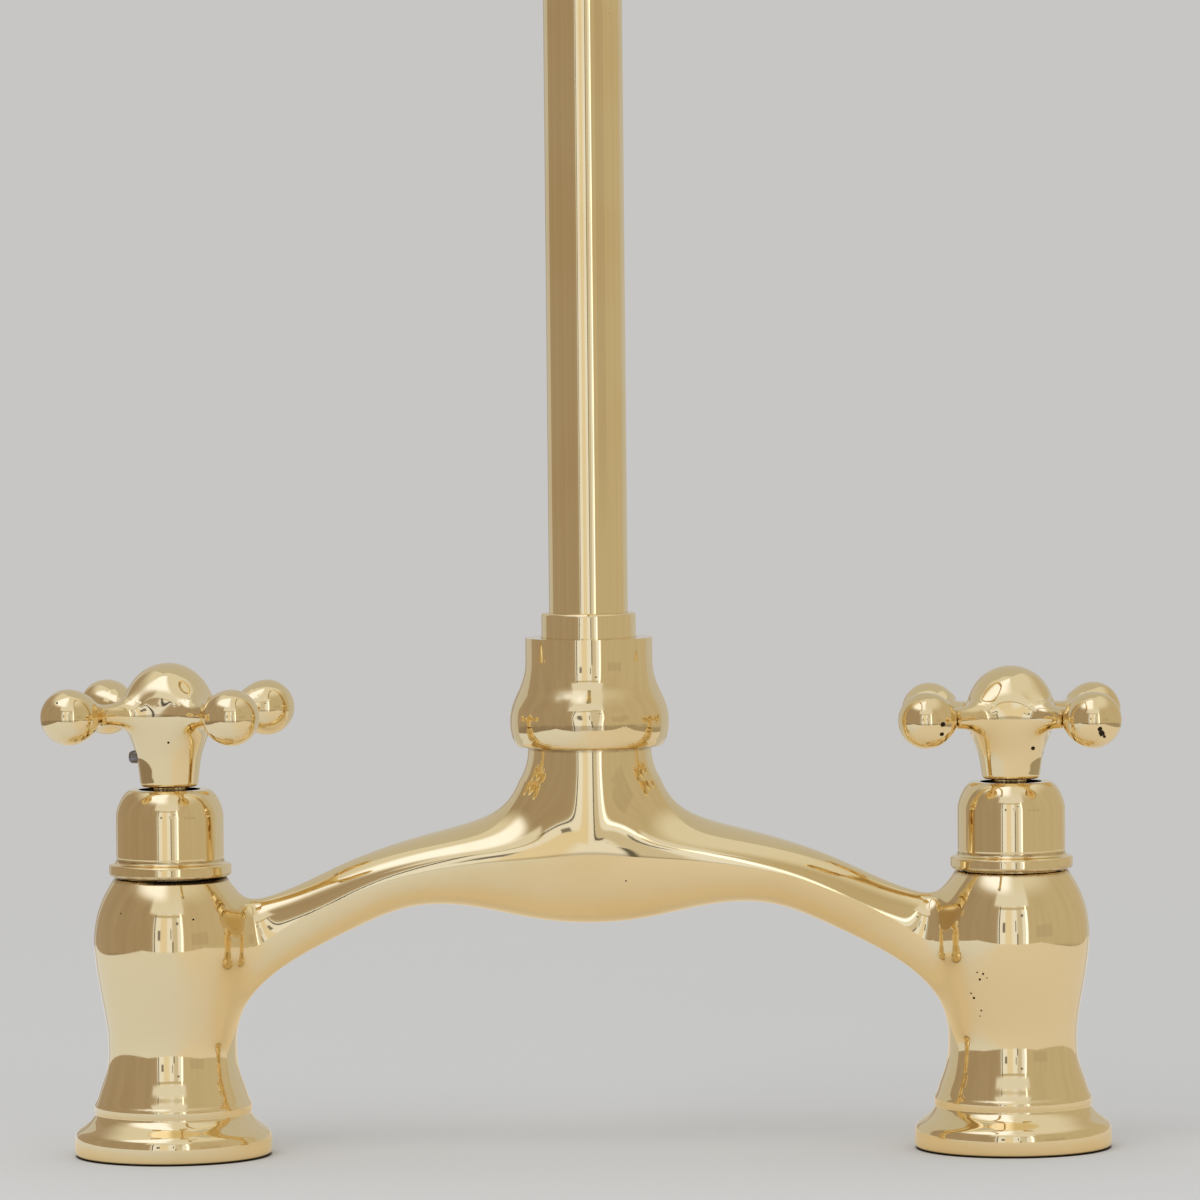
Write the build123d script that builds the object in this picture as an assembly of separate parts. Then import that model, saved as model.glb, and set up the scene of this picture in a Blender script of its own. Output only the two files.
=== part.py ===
from build123d import *
import math
import os

# Bridge kitchen tap in polished cast brass: two pillar valves joined by an arched bridge,
# a bell-shaped swivel nut on the hub, and a tall swan-neck spout that turns in it.
#
# Frame: +Z up, +X from the left pillar to the right one, -Y towards the user, over whose
# sink the spout reaches. The origin lies on the deck, midway between the inlets.
# Lengths in millimetres, angles in degrees.

# ---------------------------------------------------------------- clearances
slip_fit = 0.05  # radial, between a shaft and the bore it turns or slides in
seat_gap = 0.05  # axial, between faces that turn on each other
thread_gap = 0.1  # radial, between plain cylinders that stand for a thread pair
loose_gap = 0.1  # around a seal or a key that lies in its seat
overcut = 1.0  # how far a cutter runs past the face that it opens

# ---------------------------------------------------------------- inlets and deck seals
inlet_centres = 203.0  # 8 in between the two pillar axes
inlet_thread_r = 9.32  # minor radius of a G1/2 female thread
inlet_thread_len = 14.0
deck_seal_inner_r = 15.6
deck_seal_width = 4.8
deck_seal_thick = 1.3

# ---------------------------------------------------------------- pillars
pillar_height = 67.3
foot_r = 23.7
foot_edge_round = 0.9
foot_rim_height = 5.2  # top of the foot's upright rim
foot_cove_start = (0.35, 0.6)  # from the rim's top edge, inwards and upwards
foot_cove = [(0.55, 0.48), (0.92, 0.8)]  # shares of the way in and up to the bead
bead_r = 19.0
bead_height = 10.2  # underside of the bead above the deck
bead_width = 2.8
bead_edge_fall = 0.25  # the bead's edges lie this far inside its crest
waist_r = 15.5
waist_height = 26.0
shoulder_r = 18.7
shoulder_drop = 15.8  # widest level of the shoulder below the pillar's top
pillar_top_r = 13.7
# The stem between those radii, as shares of the way in or out and of the way up.
stem_to_waist = [(0.5, 0.32), (0.94, 0.72)]
stem_to_shoulder = [(0.3, 0.36), (0.82, 0.74)]
stem_to_top = [(0.2, 0.5), (0.52, 0.76)]
riser_r = 6.6  # waterway from the inlet up to the valve seat
chamber_r = 10.8  # space around the cartridge's windows
valve_seat_height = 40.0
cartridge_thread_len = 10.0
flange_seal_recess = 1.6

# ---------------------------------------------------------------- bridge and hub
hub_crown = 84.6  # top of the bridge at mid span
hub_belly = 55.4  # underside of the bridge at mid span
arm_root_top = 57.0  # top of the arm inside the pillar
arm_root_bottom = 33.0
# Half of the bridge from the hub out to the pillar: share of the half span, how much of
# the rise to the crown and to the belly is left there, and the half depth.
bridge_sections = [
    (0.000, 1.000, 1.000, 15.4),
    (0.120, 0.942, 1.036, 14.6),
    (0.295, 0.812, 1.196, 11.2),
    (0.445, 0.670, 1.174, 8.7),
    (0.590, 0.471, 0.915, 7.6),
    (0.720, 0.254, 0.580, 7.6),
    (0.830, 0.109, 0.223, 8.8),
    (0.930, 0.000, 0.000, 10.0),
]
arm_bore_r = 3.9  # cored waterway in each arm
pillar_blend_r = 5.0
level_edge_rise = 1.0  # an edge that rises less than this isn't part of an arm's joint
neck_r = 14.9
neck_rise = 15.0  # from the crown up to the shoulder under the thread
neck_round_len = 3.6  # round part of the neck below its shoulder
# Flare of the neck into the arms: drop below the neck's shoulder, then how much wider
# than the neck it is along the bridge and how much shallower across it.
neck_flare = [
    (8.3, 1.2, 0.02),
    (12.0, 3.3, 0.06),
    (15.3, 6.3, 0.2),
    (18.1, 10.1, 0.4),
    (20.4, 13.6, 0.7),
    (24.6, 12.1, 2.1),
]
neck_thread_r = 13.9
neck_thread_len = 14.0
hub_cavity_r = 8.0
hub_floor = 6.6  # thickness of the casting under the hub's cavity
spigot_bore_r = 10.4
spigot_bore_extra = 0.6  # how far the spigot bore goes on below the neck's shoulder

# ---------------------------------------------------------------- swivel nut
nut_lap = 1.4  # how far the nut's skirt hangs past the neck's shoulder
nut_skirt_wall = 2.0
nut_belly_r = 19.2
nut_belly_rise = 6.0
nut_neck_r = 15.35
nut_neck_rise = 20.8
# How far the bell's side runs on straight from each of its points before it bends away.
bell_off_skirt = (1.4, 0.5)
bell_under_belly = 3.2
bell_over_belly = 6.0
bell_under_neck = 7.0
nut_top_wall = 5.2
nut_ring_room = 0.2  # radial room around the split ring

# ---------------------------------------------------------------- spout
tube_r = 9.525  # 3/4 in tube
tube_wall = 1.2
collar_wall = 1.83  # around the tube's socket
collar_rise = 6.0  # collar that shows above the nut
collar_edge_round = 0.8
collar_flange = 2.15  # spigot flange between the slip washer and the split ring
split_ring_height = 2.5
split_ring_r = 12.9
split_groove_depth = 1.15
split_saw_cut = 0.6
slip_washer_thick = 0.8
tube_seat_drop = 4.4  # the tube's socket starts this far below the nut's top
spigot_length = 14.5
spigot_water_r = 6.6
spigot_ring_r = 0.85  # section radius of the spigot's seals
spigot_ring_places = (0.28, 0.66)  # shares of the way up the spigot's sleeve
ring_groove_room = 1.4  # half height of a ring's groove over the ring's section radius
spout_straight = 185.0  # upright length of tube above its seat
spout_bend_r = 90.0
spout_drop = 8.0  # straight end of the tube after the bend
outlet_r = 11.9
outlet_length = 15.0
outlet_edge_round = 0.9
outlet_overlap = 7.0  # how far the outlet sleeve is pushed on to the tube
outlet_ledge = 1.5
aerator_thread_r = 10.2
aerator_rim = 2.6
aerator_rim_step = 0.3  # how much narrower the rim is than the sleeve
aerator_flat_depth = 1.2
aerator_wall = 1.2
aerator_lip = 0.9
aerator_washer_thick = 1.2
insert_thick = 4.6
insert_hole_r = 0.75
insert_hole_rings = 4
screen_thick = 0.5
screen_hole = 0.9
screen_pitch = 1.5

# ---------------------------------------------------------------- bonnet caps
cap_reveal = 0.4  # gap between the pillar and the cap
cap_height = 20.9
cap_r = 13.0
cap_flange_r = 14.8
cap_flange_height = 3.1
cap_flange_round = 0.8
cap_fillet_height = 1.6
cap_fillet_middle = (0.25, 0.4)  # from the cap's side and the flange's top
cap_shoulder_depth = 3.4
cap_shoulder_height = 6.4
# How far the shoulder runs on straight from its two ends before it bends away.
cap_shoulder_rise = 1.7
cap_shoulder_lean = (1.9, 0.7)  # out and down from the edge of the flat top
cap_hole_r = 7.45
cap_bore_r = 11.8
cap_bore_depth = 8.5
cap_roof = 3.6

# ---------------------------------------------------------------- ceramic cartridges
hex_flats = 19.0
hex_height = 6.0
flange_r = 11.2
flange_thick = 1.7
flange_ring_r = 0.75
cartridge_neck_r = 8.45
cartridge_neck_len = 9.5
cartridge_body_r = 8.9
cartridge_bore_r = 7.65
disc_thick = 3.0
disc_port_r = 6.0
disc_hub_r = 1.6
disc_port_span = 74.0
disc_key_width = 2.4
disc_key_reach = 0.8
seal_drop = 1.5  # how far the seat seal stands out below the cartridge
seal_height = 3.0
seal_wall = 1.5
window_height = 5.2
window_sill = 0.4
spindle_r = 4.5
spindle_stem_r = 3.2
driver_r = 6.9
driver_thick = 2.5
driver_rise = 2.8
driver_lug_reach = 1.5
driver_lug_span = 18.0
drive_slot_width = 3.0
drive_slot_depth = 1.2
thrust_washer_thick = 0.6
spindle_ring_r = 0.7
spindle_ring_places = (0.25, 0.42)  # shares of the way up the cartridge's neck
circlip_r = 5.2
circlip_thick = 0.8
circlip_groove = 1.2
circlip_gap_start = 40.0
circlip_gap_span = 100.0
spline_r = 3.75
spline_depth = 0.4
spline_count = 20
valve_turn = 90.0

# ---------------------------------------------------------------- cross handles
handle_reveal = 0.7  # gap between the cap and the handle
handle_foot_r = 7.0
handle_foot_round = 0.6
# The stem, as shares of the widening to the dome and of the rise to its centre.
handle_stem = [(0.1, 0.17), (0.25, 0.35), (0.5, 0.52), (0.85, 0.74)]
handle_dome_r = 10.2
# Centre of the dome above the handle's foot; the right casting's stem is the shorter one.
left_dome_height = 19.7
right_dome_height = 17.1
handle_arm_drop = 1.8  # from the centre of the dome down to the axis of the arms
handle_arm_reach = 28.2  # from the handle's axis to the centre of a knob
handle_arm_r = 2.6  # where an arm is thinnest
handle_arm_root_r = 4.8
handle_arm_waist = 17.2  # distance of the thinnest place from the handle's axis
handle_arms = 4
arm_to_waist = (0.5, 0.48)  # shares of the way out along the arm and of its narrowing
arm_to_knob = (0.72, 0.36)  # shares of the way on to the knob and of its widening
knob_r = 6.7
knob_join = (0.8, 0.6)  # where the arm ends on the knob: back along it and out, over its radius
handle_blend_r = 1.8
socket_depth = 10.4
socket_spare = 0.5  # room above the spindle's end
left_arm_angle = 35.3  # the first arm, turned from +X
right_arm_angle = 41.6
grub_r = 1.75
grub_length = 4.0
grub_height = 7.1
grub_key_flats = 1.6
grub_key_depth = 1.8
left_grub_angle = 170.3
right_grub_angle = 356.6
left_grub_back_out = 1.85  # the left one is backed out and stands proud of the hub

# ---------------------------------------------------------------- worked-out places
half_span = inlet_centres / 2
shoulder_height = pillar_height - shoulder_drop
neck_top = hub_crown + neck_rise
neck_mouth = neck_top + neck_thread_len
nut_bottom = neck_top - nut_lap
spigot_shoulder = neck_mouth + slip_washer_thick + seat_gap
ring_bottom = spigot_shoulder + collar_flange + seat_gap
ring_top = ring_bottom + split_ring_height
nut_shoulder = ring_top + seat_gap
nut_top = nut_shoulder + nut_top_wall
collar_r = tube_r + slip_fit + collar_wall
collar_top = nut_top + collar_rise
tube_seat = nut_top - tube_seat_drop
tube_inner_r = tube_r - tube_wall
bend_height = tube_seat + spout_straight
outlet_y = -2 * spout_bend_r
tube_end = bend_height - spout_drop
outlet_top = tube_end + outlet_overlap
outlet_bottom = outlet_top - outlet_length
aerator_ceiling = tube_end - outlet_ledge
cap_bottom = pillar_height + cap_reveal
cap_top = cap_bottom + cap_height
cap_roof_height = cap_top - cap_roof
flange_top = pillar_height + flange_thick
hex_top = flange_top + hex_height
cartridge_top = hex_top + cartridge_neck_len
cartridge_bottom = valve_seat_height + seal_drop
thread_bottom = pillar_height - cartridge_thread_len
fixed_disc_bottom = valve_seat_height + seal_height
moving_disc_bottom = fixed_disc_bottom + disc_thick + seat_gap
moving_disc_top = moving_disc_bottom + disc_thick
driver_bottom = moving_disc_top + driver_rise
driver_top = driver_bottom + driver_thick
chamber_top = driver_top + thrust_washer_thick + 2 * seat_gap
handle_bottom = cap_top + handle_reveal
spindle_top = handle_bottom + socket_depth - socket_spare
circlip_bottom = cartridge_top + seat_gap
disc_r = cartridge_bore_r - loose_gap
SIDES = {"left": -1, "right": 1}


# ---------------------------------------------------------------- helpers
def between(low, high, share):
    """The value that lies this share of the way from low to high."""
    return low + share * (high - low)


def raised(point, rise):
    """A (radius, height) point moved up by a rise."""
    return (point[0], point[1] + rise)


def along(start, end, shares):
    """Point between two (radius, height) points, with a share for each of the two."""
    return (between(start[0], end[0], shares[0]), between(start[1], end[1], shares[1]))


def rounded_corner(corner, radius, up):
    """Quarter round that ends a cylinder's side, at its top or at its underside."""
    corner_r, height = corner
    sign = 1 if up else -1
    inset = radius * (1 - math.sqrt(0.5))
    on_side = (corner_r, height - sign * radius)
    on_end = (corner_r - radius, height)
    middle = (corner_r - inset, height - sign * inset)
    return ThreePointArc(on_side, middle, on_end)


def revolved(edges):
    """Solid of revolution about Z from edges that close a face in (radius, height)."""
    return revolve(Plane.XZ * make_face(edges), Axis.Z)


def barrel(radius, low, high):
    """Cylinder about Z between two heights."""
    return Pos(0, 0, (low + high) / 2) * Cylinder(radius, high - low)


def ring(inner_r, outer_r, low, high):
    """Plain ring about Z between two heights."""
    return barrel(outer_r, low, high) - barrel(inner_r, low, high)


def seal_ring(section_r, outer_r, height):
    """Round-section seal about Z with this outer radius, centred at a height."""
    return Pos(0, 0, height) * Torus(outer_r - section_r, section_r)


def seal_groove(section_r, outer_r, height):
    """Space that a shaft's groove leaves for such a seal."""
    floor = outer_r - 2 * section_r
    half_height = ring_groove_room * section_r
    return ring(floor, outer_r + section_r, height - half_height, height + half_height)


def sector(radius, low, high, start, span):
    """Pie slice about Z from a start angle, over a span of less than a half turn."""
    half = math.radians(span / 2)
    reach = 2 * radius
    corner = (reach * math.cos(half), reach * math.sin(half))
    wedge = make_face(Polyline((0, 0), (corner[0], -corner[1]), corner, close=True))
    block = Pos(0, 0, low) * extrude(wedge, high - low)
    return barrel(radius, low, high) & (Rot(0, 0, start + span / 2) * block)


def splined_bar(radius, low, high):
    """Bar about Z with fine straight teeth all round."""
    points = []
    for step in range(2 * spline_count):
        angle = math.pi * step / spline_count
        reach = radius - spline_depth * (step % 2)
        points.append((reach * math.cos(angle), reach * math.sin(angle)))
    return Pos(0, 0, low) * extrude(make_face(Polyline(*points, close=True)), high - low)


def write(name, shape):
    """Saves one sub-part under its node name."""
    export_step(shape, f"parts/{name}.step")


# ---------------------------------------------------------------- bridge casting
def pillar_solid():
    """One pillar's outside: foot flange, bead, waist and shoulder."""
    bead_low = (bead_r - bead_edge_fall, bead_height)
    bead_high = (bead_r - bead_edge_fall, bead_height + bead_width)
    rim_top = (foot_r, foot_rim_height - foot_edge_round)
    cove_r, cove_rise = foot_cove_start
    cove = [rim_top, (foot_r - cove_r, foot_rim_height + cove_rise)]
    cove += [along((foot_r, foot_rim_height), (bead_r, bead_height), step) for step in foot_cove]
    cove.append(bead_low)
    bead_end = (bead_r, bead_high[1])
    waist = (waist_r, waist_height)
    shoulder = (shoulder_r, shoulder_height)
    top = (pillar_top_r, pillar_height)
    stem = [bead_high]
    stem += [along(bead_end, waist, step) for step in stem_to_waist] + [waist]
    stem += [along(waist, shoulder, step) for step in stem_to_shoulder] + [shoulder]
    stem += [along(shoulder, top, step) for step in stem_to_top] + [top]
    return revolved(
        [
            Line((0, 0), (foot_r - foot_edge_round, 0)),
            rounded_corner((foot_r, 0), foot_edge_round, up=False),
            Line((foot_r, foot_edge_round), rim_top),
            Spline(cove),
            ThreePointArc(bead_low, (bead_r, bead_height + bead_width / 2), bead_high),
            Spline(stem),
            Line(top, (0, pillar_height)),
            Line((0, pillar_height), (0, 0)),
        ]
    )


def bridge_stations():
    """Stations of the whole bridge, left to right: X, top, bottom and half depth."""
    half = [
        (
            share * half_span,
            between(arm_root_top, hub_crown, top),
            between(arm_root_bottom, hub_belly, bottom),
            depth,
        )
        for share, top, bottom, depth in bridge_sections
    ]
    return [(-x, *rest) for x, *rest in reversed(half[1:])] + half


def bridge_solid():
    """Both arms and the hub's belly as one loft of upright ellipses."""
    faces = []
    for x, top, bottom, depth in bridge_stations():
        upright = Plane(origin=(x, 0, (top + bottom) / 2), x_dir=(0, 1, 0), z_dir=(1, 0, 0))
        faces.append(upright * Ellipse(depth, (top - bottom) / 2))
    return loft(faces)


def neck_solid():
    """The round neck with its thread, and the flare that widens down into the arms."""
    faces = [Pos(0, 0, neck_top - neck_round_len) * Circle(neck_r)]
    for drop, wider, shallower in neck_flare:
        faces.append(Pos(0, 0, neck_top - drop) * Ellipse(neck_r + wider, neck_r - shallower))
    neck = loft(faces) + barrel(neck_r, neck_top - neck_round_len, neck_top)
    return neck + barrel(neck_thread_r, neck_top, neck_mouth)


def arm_waterway():
    """Cored waterway from one valve chamber to the other, through the hub."""
    path = Spline([Vector(x, 0, (top + bottom) / 2) for x, top, bottom, _ in bridge_stations()])
    return sweep(Plane(origin=path @ 0, z_dir=path % 0) * Circle(arm_bore_r), path)


def pillar_bores():
    """Everything machined into one pillar."""
    bores = barrel(inlet_thread_r, -overcut, inlet_thread_len)
    bores += barrel(riser_r, inlet_thread_len, valve_seat_height)
    bores += barrel(inlet_thread_r, valve_seat_height, pillar_height + overcut)
    bores += barrel(chamber_r, fixed_disc_bottom, min(chamber_top, thread_bottom))
    recess_r = inlet_thread_r + 2 * flange_ring_r + 2 * loose_gap
    bores += barrel(recess_r, pillar_height - flange_seal_recess, pillar_height + overcut)
    seat_inner_r = deck_seal_inner_r - loose_gap
    seat_outer_r = deck_seal_inner_r + deck_seal_width + loose_gap
    return bores + ring(seat_inner_r, seat_outer_r, -overcut, deck_seal_thick)


def at_pillar_joint(edge):
    """Whether an edge is where an arm runs into a pillar."""
    is_round = edge.geom_type == GeomType.CIRCLE
    is_level = edge.bounding_box().size.Z < level_edge_rise
    return half_span / 2 < abs(edge.center().X) < half_span and not is_round and not is_level


def bridge_casting():
    """The one-piece casting: pillars, arms, hub and threaded neck, with its waterways."""
    pillar = pillar_solid()
    casting = bridge_solid()
    for side in SIDES.values():
        casting += Pos(side * half_span, 0, 0) * pillar
    casting = Part() + casting.fillet(pillar_blend_r, casting.edges().filter_by(at_pillar_joint))
    casting += neck_solid()
    casting -= arm_waterway()
    casting -= barrel(hub_cavity_r, hub_belly + hub_floor, neck_mouth)
    casting -= barrel(spigot_bore_r, neck_top - spigot_bore_extra, neck_mouth + overcut)
    for side in SIDES.values():
        casting -= Pos(side * half_span, 0, 0) * pillar_bores()
    return casting


def deck_seal():
    """Flat rubber ring let into the underside of a foot."""
    outer_r = deck_seal_inner_r + deck_seal_width
    return ring(deck_seal_inner_r, outer_r, 0, deck_seal_thick)


# ---------------------------------------------------------------- valve, left-hand form
def seat_seal():
    """Rubber seal between the casting's seat and the fixed disc."""
    outer_r = cartridge_bore_r - loose_gap
    return ring(outer_r - seal_wall, outer_r, valve_seat_height, fixed_disc_bottom)


def disc_ports(start):
    """Two opposite openings through a ceramic disc, from a start angle."""
    low, high = valve_seat_height, chamber_top
    ports = sector(disc_port_r, low, high, start, disc_port_span)
    ports += sector(disc_port_r, low, high, start + 180, disc_port_span)
    return ports - barrel(disc_hub_r, low, high)


def disc_keys(clearance):
    """Two keys that stop the fixed disc from turning, or with clearance their slots."""
    length = 2 * (cartridge_bore_r + disc_key_reach + clearance)
    low, high = cartridge_bottom, fixed_disc_bottom + disc_thick + clearance
    block = Box(disc_key_width + 2 * clearance, length, high - low)
    return Rot(0, 0, driver_angle()) * Pos(0, 0, (low + high) / 2) * block


def fixed_disc():
    """Ceramic disc that stays with the cartridge."""
    top = fixed_disc_bottom + disc_thick
    keys = disc_keys(0) & barrel(cartridge_body_r, fixed_disc_bottom, top)
    return barrel(disc_r, fixed_disc_bottom, top) + keys - disc_ports(0)


def moving_disc():
    """Ceramic disc that the spindle turns; at rest its ports are shut off."""
    slot = Box(drive_slot_width, 4 * disc_r, 2 * drive_slot_depth)
    disc = barrel(disc_r, moving_disc_bottom, moving_disc_top) - disc_ports(-valve_turn)
    return disc - Rot(0, 0, driver_angle()) * Pos(0, 0, moving_disc_top) * slot


def driver_angle():
    """Direction across the ports, where the discs are solid, with the valve shut."""
    return disc_port_span / 2


def cartridge_windows():
    """Two openings in the cartridge's wall; a lug on the spindle stops at their ends."""
    low = moving_disc_top + window_sill
    margin = math.degrees(2 * seat_gap / cartridge_bore_r)
    span = valve_turn + driver_lug_span + 2 * margin
    start = -driver_lug_span / 2 - margin
    openings = sector(chamber_r, low, low + window_height, start, span)
    openings += sector(chamber_r, low, low + window_height, start + 180, span)
    return openings


def cartridge_body():
    """Brass body of the valve: windowed sleeve, thread, flange, hexagon and neck."""
    body = barrel(cartridge_body_r, cartridge_bottom, thread_bottom)
    body += barrel(inlet_thread_r - thread_gap, thread_bottom, pillar_height)
    body += barrel(flange_r, pillar_height, flange_top)
    hexagon = RegularPolygon(hex_flats / 2, 6, major_radius=False)
    body += Pos(0, 0, flange_top) * extrude(hexagon, hex_height)
    body += barrel(cartridge_neck_r, hex_top, cartridge_top)
    body -= barrel(cartridge_bore_r, cartridge_bottom, chamber_top)
    body -= barrel(spindle_r + slip_fit, chamber_top, cartridge_top)
    body -= disc_keys(loose_gap)
    return body - cartridge_windows()


def flange_seal():
    """Rubber ring under the cartridge's flange."""
    height = pillar_height - flange_seal_recess / 2
    return seal_ring(flange_ring_r, inlet_thread_r + loose_gap + 2 * flange_ring_r, height)


def spindle_seal_heights():
    """Heights of the spindle's two rubber rings."""
    return [between(thread_bottom, cartridge_top, share) for share in spindle_ring_places]


def spindle_seal_outer_r():
    """Outer radius of the spindle's rubber rings, just clear of the cartridge's bore."""
    return spindle_r + slip_fit / 2


def spindle():
    """Valve spindle: drive tang, stop lug, sealed shank, clip groove and splined end."""
    tang = Box(drive_slot_width - 2 * loose_gap, 2 * driver_r, drive_slot_depth)
    tang_height = moving_disc_top - drive_slot_depth / 2 + seat_gap
    shaft = Rot(0, 0, driver_angle()) * Pos(0, 0, tang_height) * tang
    shaft &= barrel(driver_r, cartridge_bottom, chamber_top)
    shaft += barrel(spindle_stem_r, moving_disc_top + seat_gap, driver_bottom)
    shaft += barrel(driver_r, driver_bottom, driver_top)
    lug_r = driver_r + driver_lug_reach
    start = -driver_lug_span / 2
    shaft += sector(lug_r, driver_bottom, driver_top, start, driver_lug_span)
    shaft += barrel(spindle_r, driver_top, circlip_bottom + 2 * circlip_thick)
    shaft += splined_bar(spline_r, circlip_bottom + 2 * circlip_thick, spindle_top)
    for height in spindle_seal_heights():
        shaft -= seal_groove(spindle_ring_r, spindle_seal_outer_r(), height)
    groove_floor = spindle_r - circlip_groove
    groove_bottom = circlip_bottom - seat_gap / 2
    groove_top = circlip_bottom + circlip_thick + seat_gap
    return shaft - ring(groove_floor, 2 * spindle_r, groove_bottom, groove_top)


def spindle_seals():
    """The spindle's two rubber rings."""
    return Compound(
        children=[
            seal_ring(spindle_ring_r, spindle_seal_outer_r(), height)
            for height in spindle_seal_heights()
        ]
    )


def circlip():
    """Open spring clip that keeps the spindle from dropping through the cartridge."""
    inner_r = spindle_r - circlip_groove + slip_fit
    clip = ring(inner_r, circlip_r, circlip_bottom, circlip_bottom + circlip_thick)
    low = circlip_bottom - overcut
    return clip - sector(2 * circlip_r, low, cap_top, circlip_gap_start, circlip_gap_span)


def thrust_washer():
    """Low-friction washer between the spindle's driver and the cartridge's ceiling."""
    low = driver_top + seat_gap
    return ring(spindle_r + slip_fit, driver_r, low, low + thrust_washer_thick)


def bonnet_cap():
    """Turned cap that hides the cartridge, open at the top for the spindle."""
    flange_top_z = cap_bottom + cap_flange_height
    edge_r = cap_flange_r - cap_flange_round
    fillet_r, fillet_z = cap_fillet_middle
    fillet_top = flange_top_z + cap_fillet_height
    shoulder_low = (cap_r, cap_top - cap_shoulder_height)
    shoulder_high = (cap_r - cap_shoulder_depth, cap_top)
    lean_out, lean_down = cap_shoulder_lean
    outline = [
        Line((0, cap_bottom), (edge_r, cap_bottom)),
        rounded_corner((cap_flange_r, cap_bottom), cap_flange_round, up=False),
        Line(
            (cap_flange_r, cap_bottom + cap_flange_round),
            (cap_flange_r, flange_top_z - cap_flange_round),
        ),
        rounded_corner((cap_flange_r, flange_top_z), cap_flange_round, up=True),
        ThreePointArc(
            (edge_r, flange_top_z),
            (cap_r + fillet_r, flange_top_z + fillet_z),
            (cap_r, fillet_top),
        ),
        Line((cap_r, fillet_top), shoulder_low),
        Bezier(
            shoulder_low,
            raised(shoulder_low, cap_shoulder_rise),
            (shoulder_high[0] + lean_out, shoulder_high[1] - lean_down),
            shoulder_high,
        ),
        Line(shoulder_high, (0, cap_top)),
        Line((0, cap_top), (0, cap_bottom)),
    ]
    cap = revolved(outline)
    cap -= barrel(cap_bore_r, cap_bottom - overcut, cap_bottom + cap_bore_depth)
    cap -= barrel(cartridge_neck_r + thread_gap, cap_bottom, cap_roof_height)
    return cap - barrel(cap_hole_r, cap_bottom, cap_top + overcut)


# ---------------------------------------------------------------- cross handles
def handle_hub(dome_height):
    """Turned middle of the handle: flared stem and round dome."""
    foot = (handle_foot_r, handle_bottom)
    dome_z = handle_bottom + dome_height
    dome = (handle_dome_r, dome_z)
    stem = [(handle_foot_r, handle_bottom + handle_foot_round)]
    stem += [along(foot, dome, step) for step in handle_stem] + [dome]
    lean = math.sqrt(0.5) * handle_dome_r
    foot_edge = (handle_foot_r - handle_foot_round, handle_bottom)
    return revolved(
        [
            Line((0, handle_bottom), foot_edge),
            Line(foot_edge, stem[0]),
            Spline(stem, tangents=[(0, 1), (0, 1)]),
            ThreePointArc(dome, (lean, dome_z + lean), (0, dome_z + handle_dome_r)),
            Line((0, dome_z + handle_dome_r), (0, handle_bottom)),
        ]
    )


def handle_arm(dome_height):
    """One arm along +X with its ball knob."""
    back, out = knob_join
    root = (handle_dome_r / 2, handle_arm_root_r)
    waist = (handle_arm_waist, handle_arm_r)
    join = (handle_arm_reach - back * knob_r, out * knob_r)
    arm = [root, along(root, waist, arm_to_waist), waist, along(waist, join, arm_to_knob), join]
    tip = handle_arm_reach + knob_r
    outline = [
        Line((0, 0), (0, handle_arm_root_r)),
        Line((0, handle_arm_root_r), root),
        Spline(arm),
        ThreePointArc(join, (handle_arm_reach, knob_r), (tip, 0)),
        Line((tip, 0), (0, 0)),
    ]
    turned = revolve(Plane.XY * make_face(outline), Axis.X)
    return Pos(0, 0, handle_bottom + dome_height - handle_arm_drop) * turned


def at_arm_root(edge):
    """Whether an edge is where an arm leaves the handle's hub."""
    centre = edge.center()
    reach = math.hypot(centre.X, centre.Y)
    return handle_dome_r / 2 < reach < handle_arm_waist and centre.Z > handle_bottom + grub_height


def cross_handle(dome_height, arm_angle, grub_angle):
    """Cast cross handle with a splined socket and a tapped hole for its grub screw."""
    handle = handle_hub(dome_height)
    for index in range(handle_arms):
        handle += Rot(0, 0, arm_angle + 360 * index / handle_arms) * handle_arm(dome_height)
    handle = Part() + handle.fillet(handle_blend_r, handle.edges().filter_by(at_arm_root))
    socket_top = handle_bottom + socket_depth
    handle -= splined_bar(spline_r + slip_fit, handle_bottom - overcut, socket_top)
    drill = extrude(Plane.YZ * Circle(grub_r + thread_gap / 2), 2 * handle_dome_r)
    return handle - Rot(0, 0, grub_angle) * Pos(0, 0, handle_bottom + grub_height) * drill


def grub_screw(angle, inner_end):
    """Socket grub screw lying radially, its inner end this far from the axis."""
    screw = extrude(Plane.YZ * Circle(grub_r), grub_length)
    key = RegularPolygon(grub_key_flats / 2, 6, major_radius=False)
    socket = extrude(Plane.YZ.offset(grub_length - grub_key_depth) * key, 2 * grub_key_depth)
    return Rot(0, 0, angle) * Pos(inner_end, 0, handle_bottom + grub_height) * (screw - socket)


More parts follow.
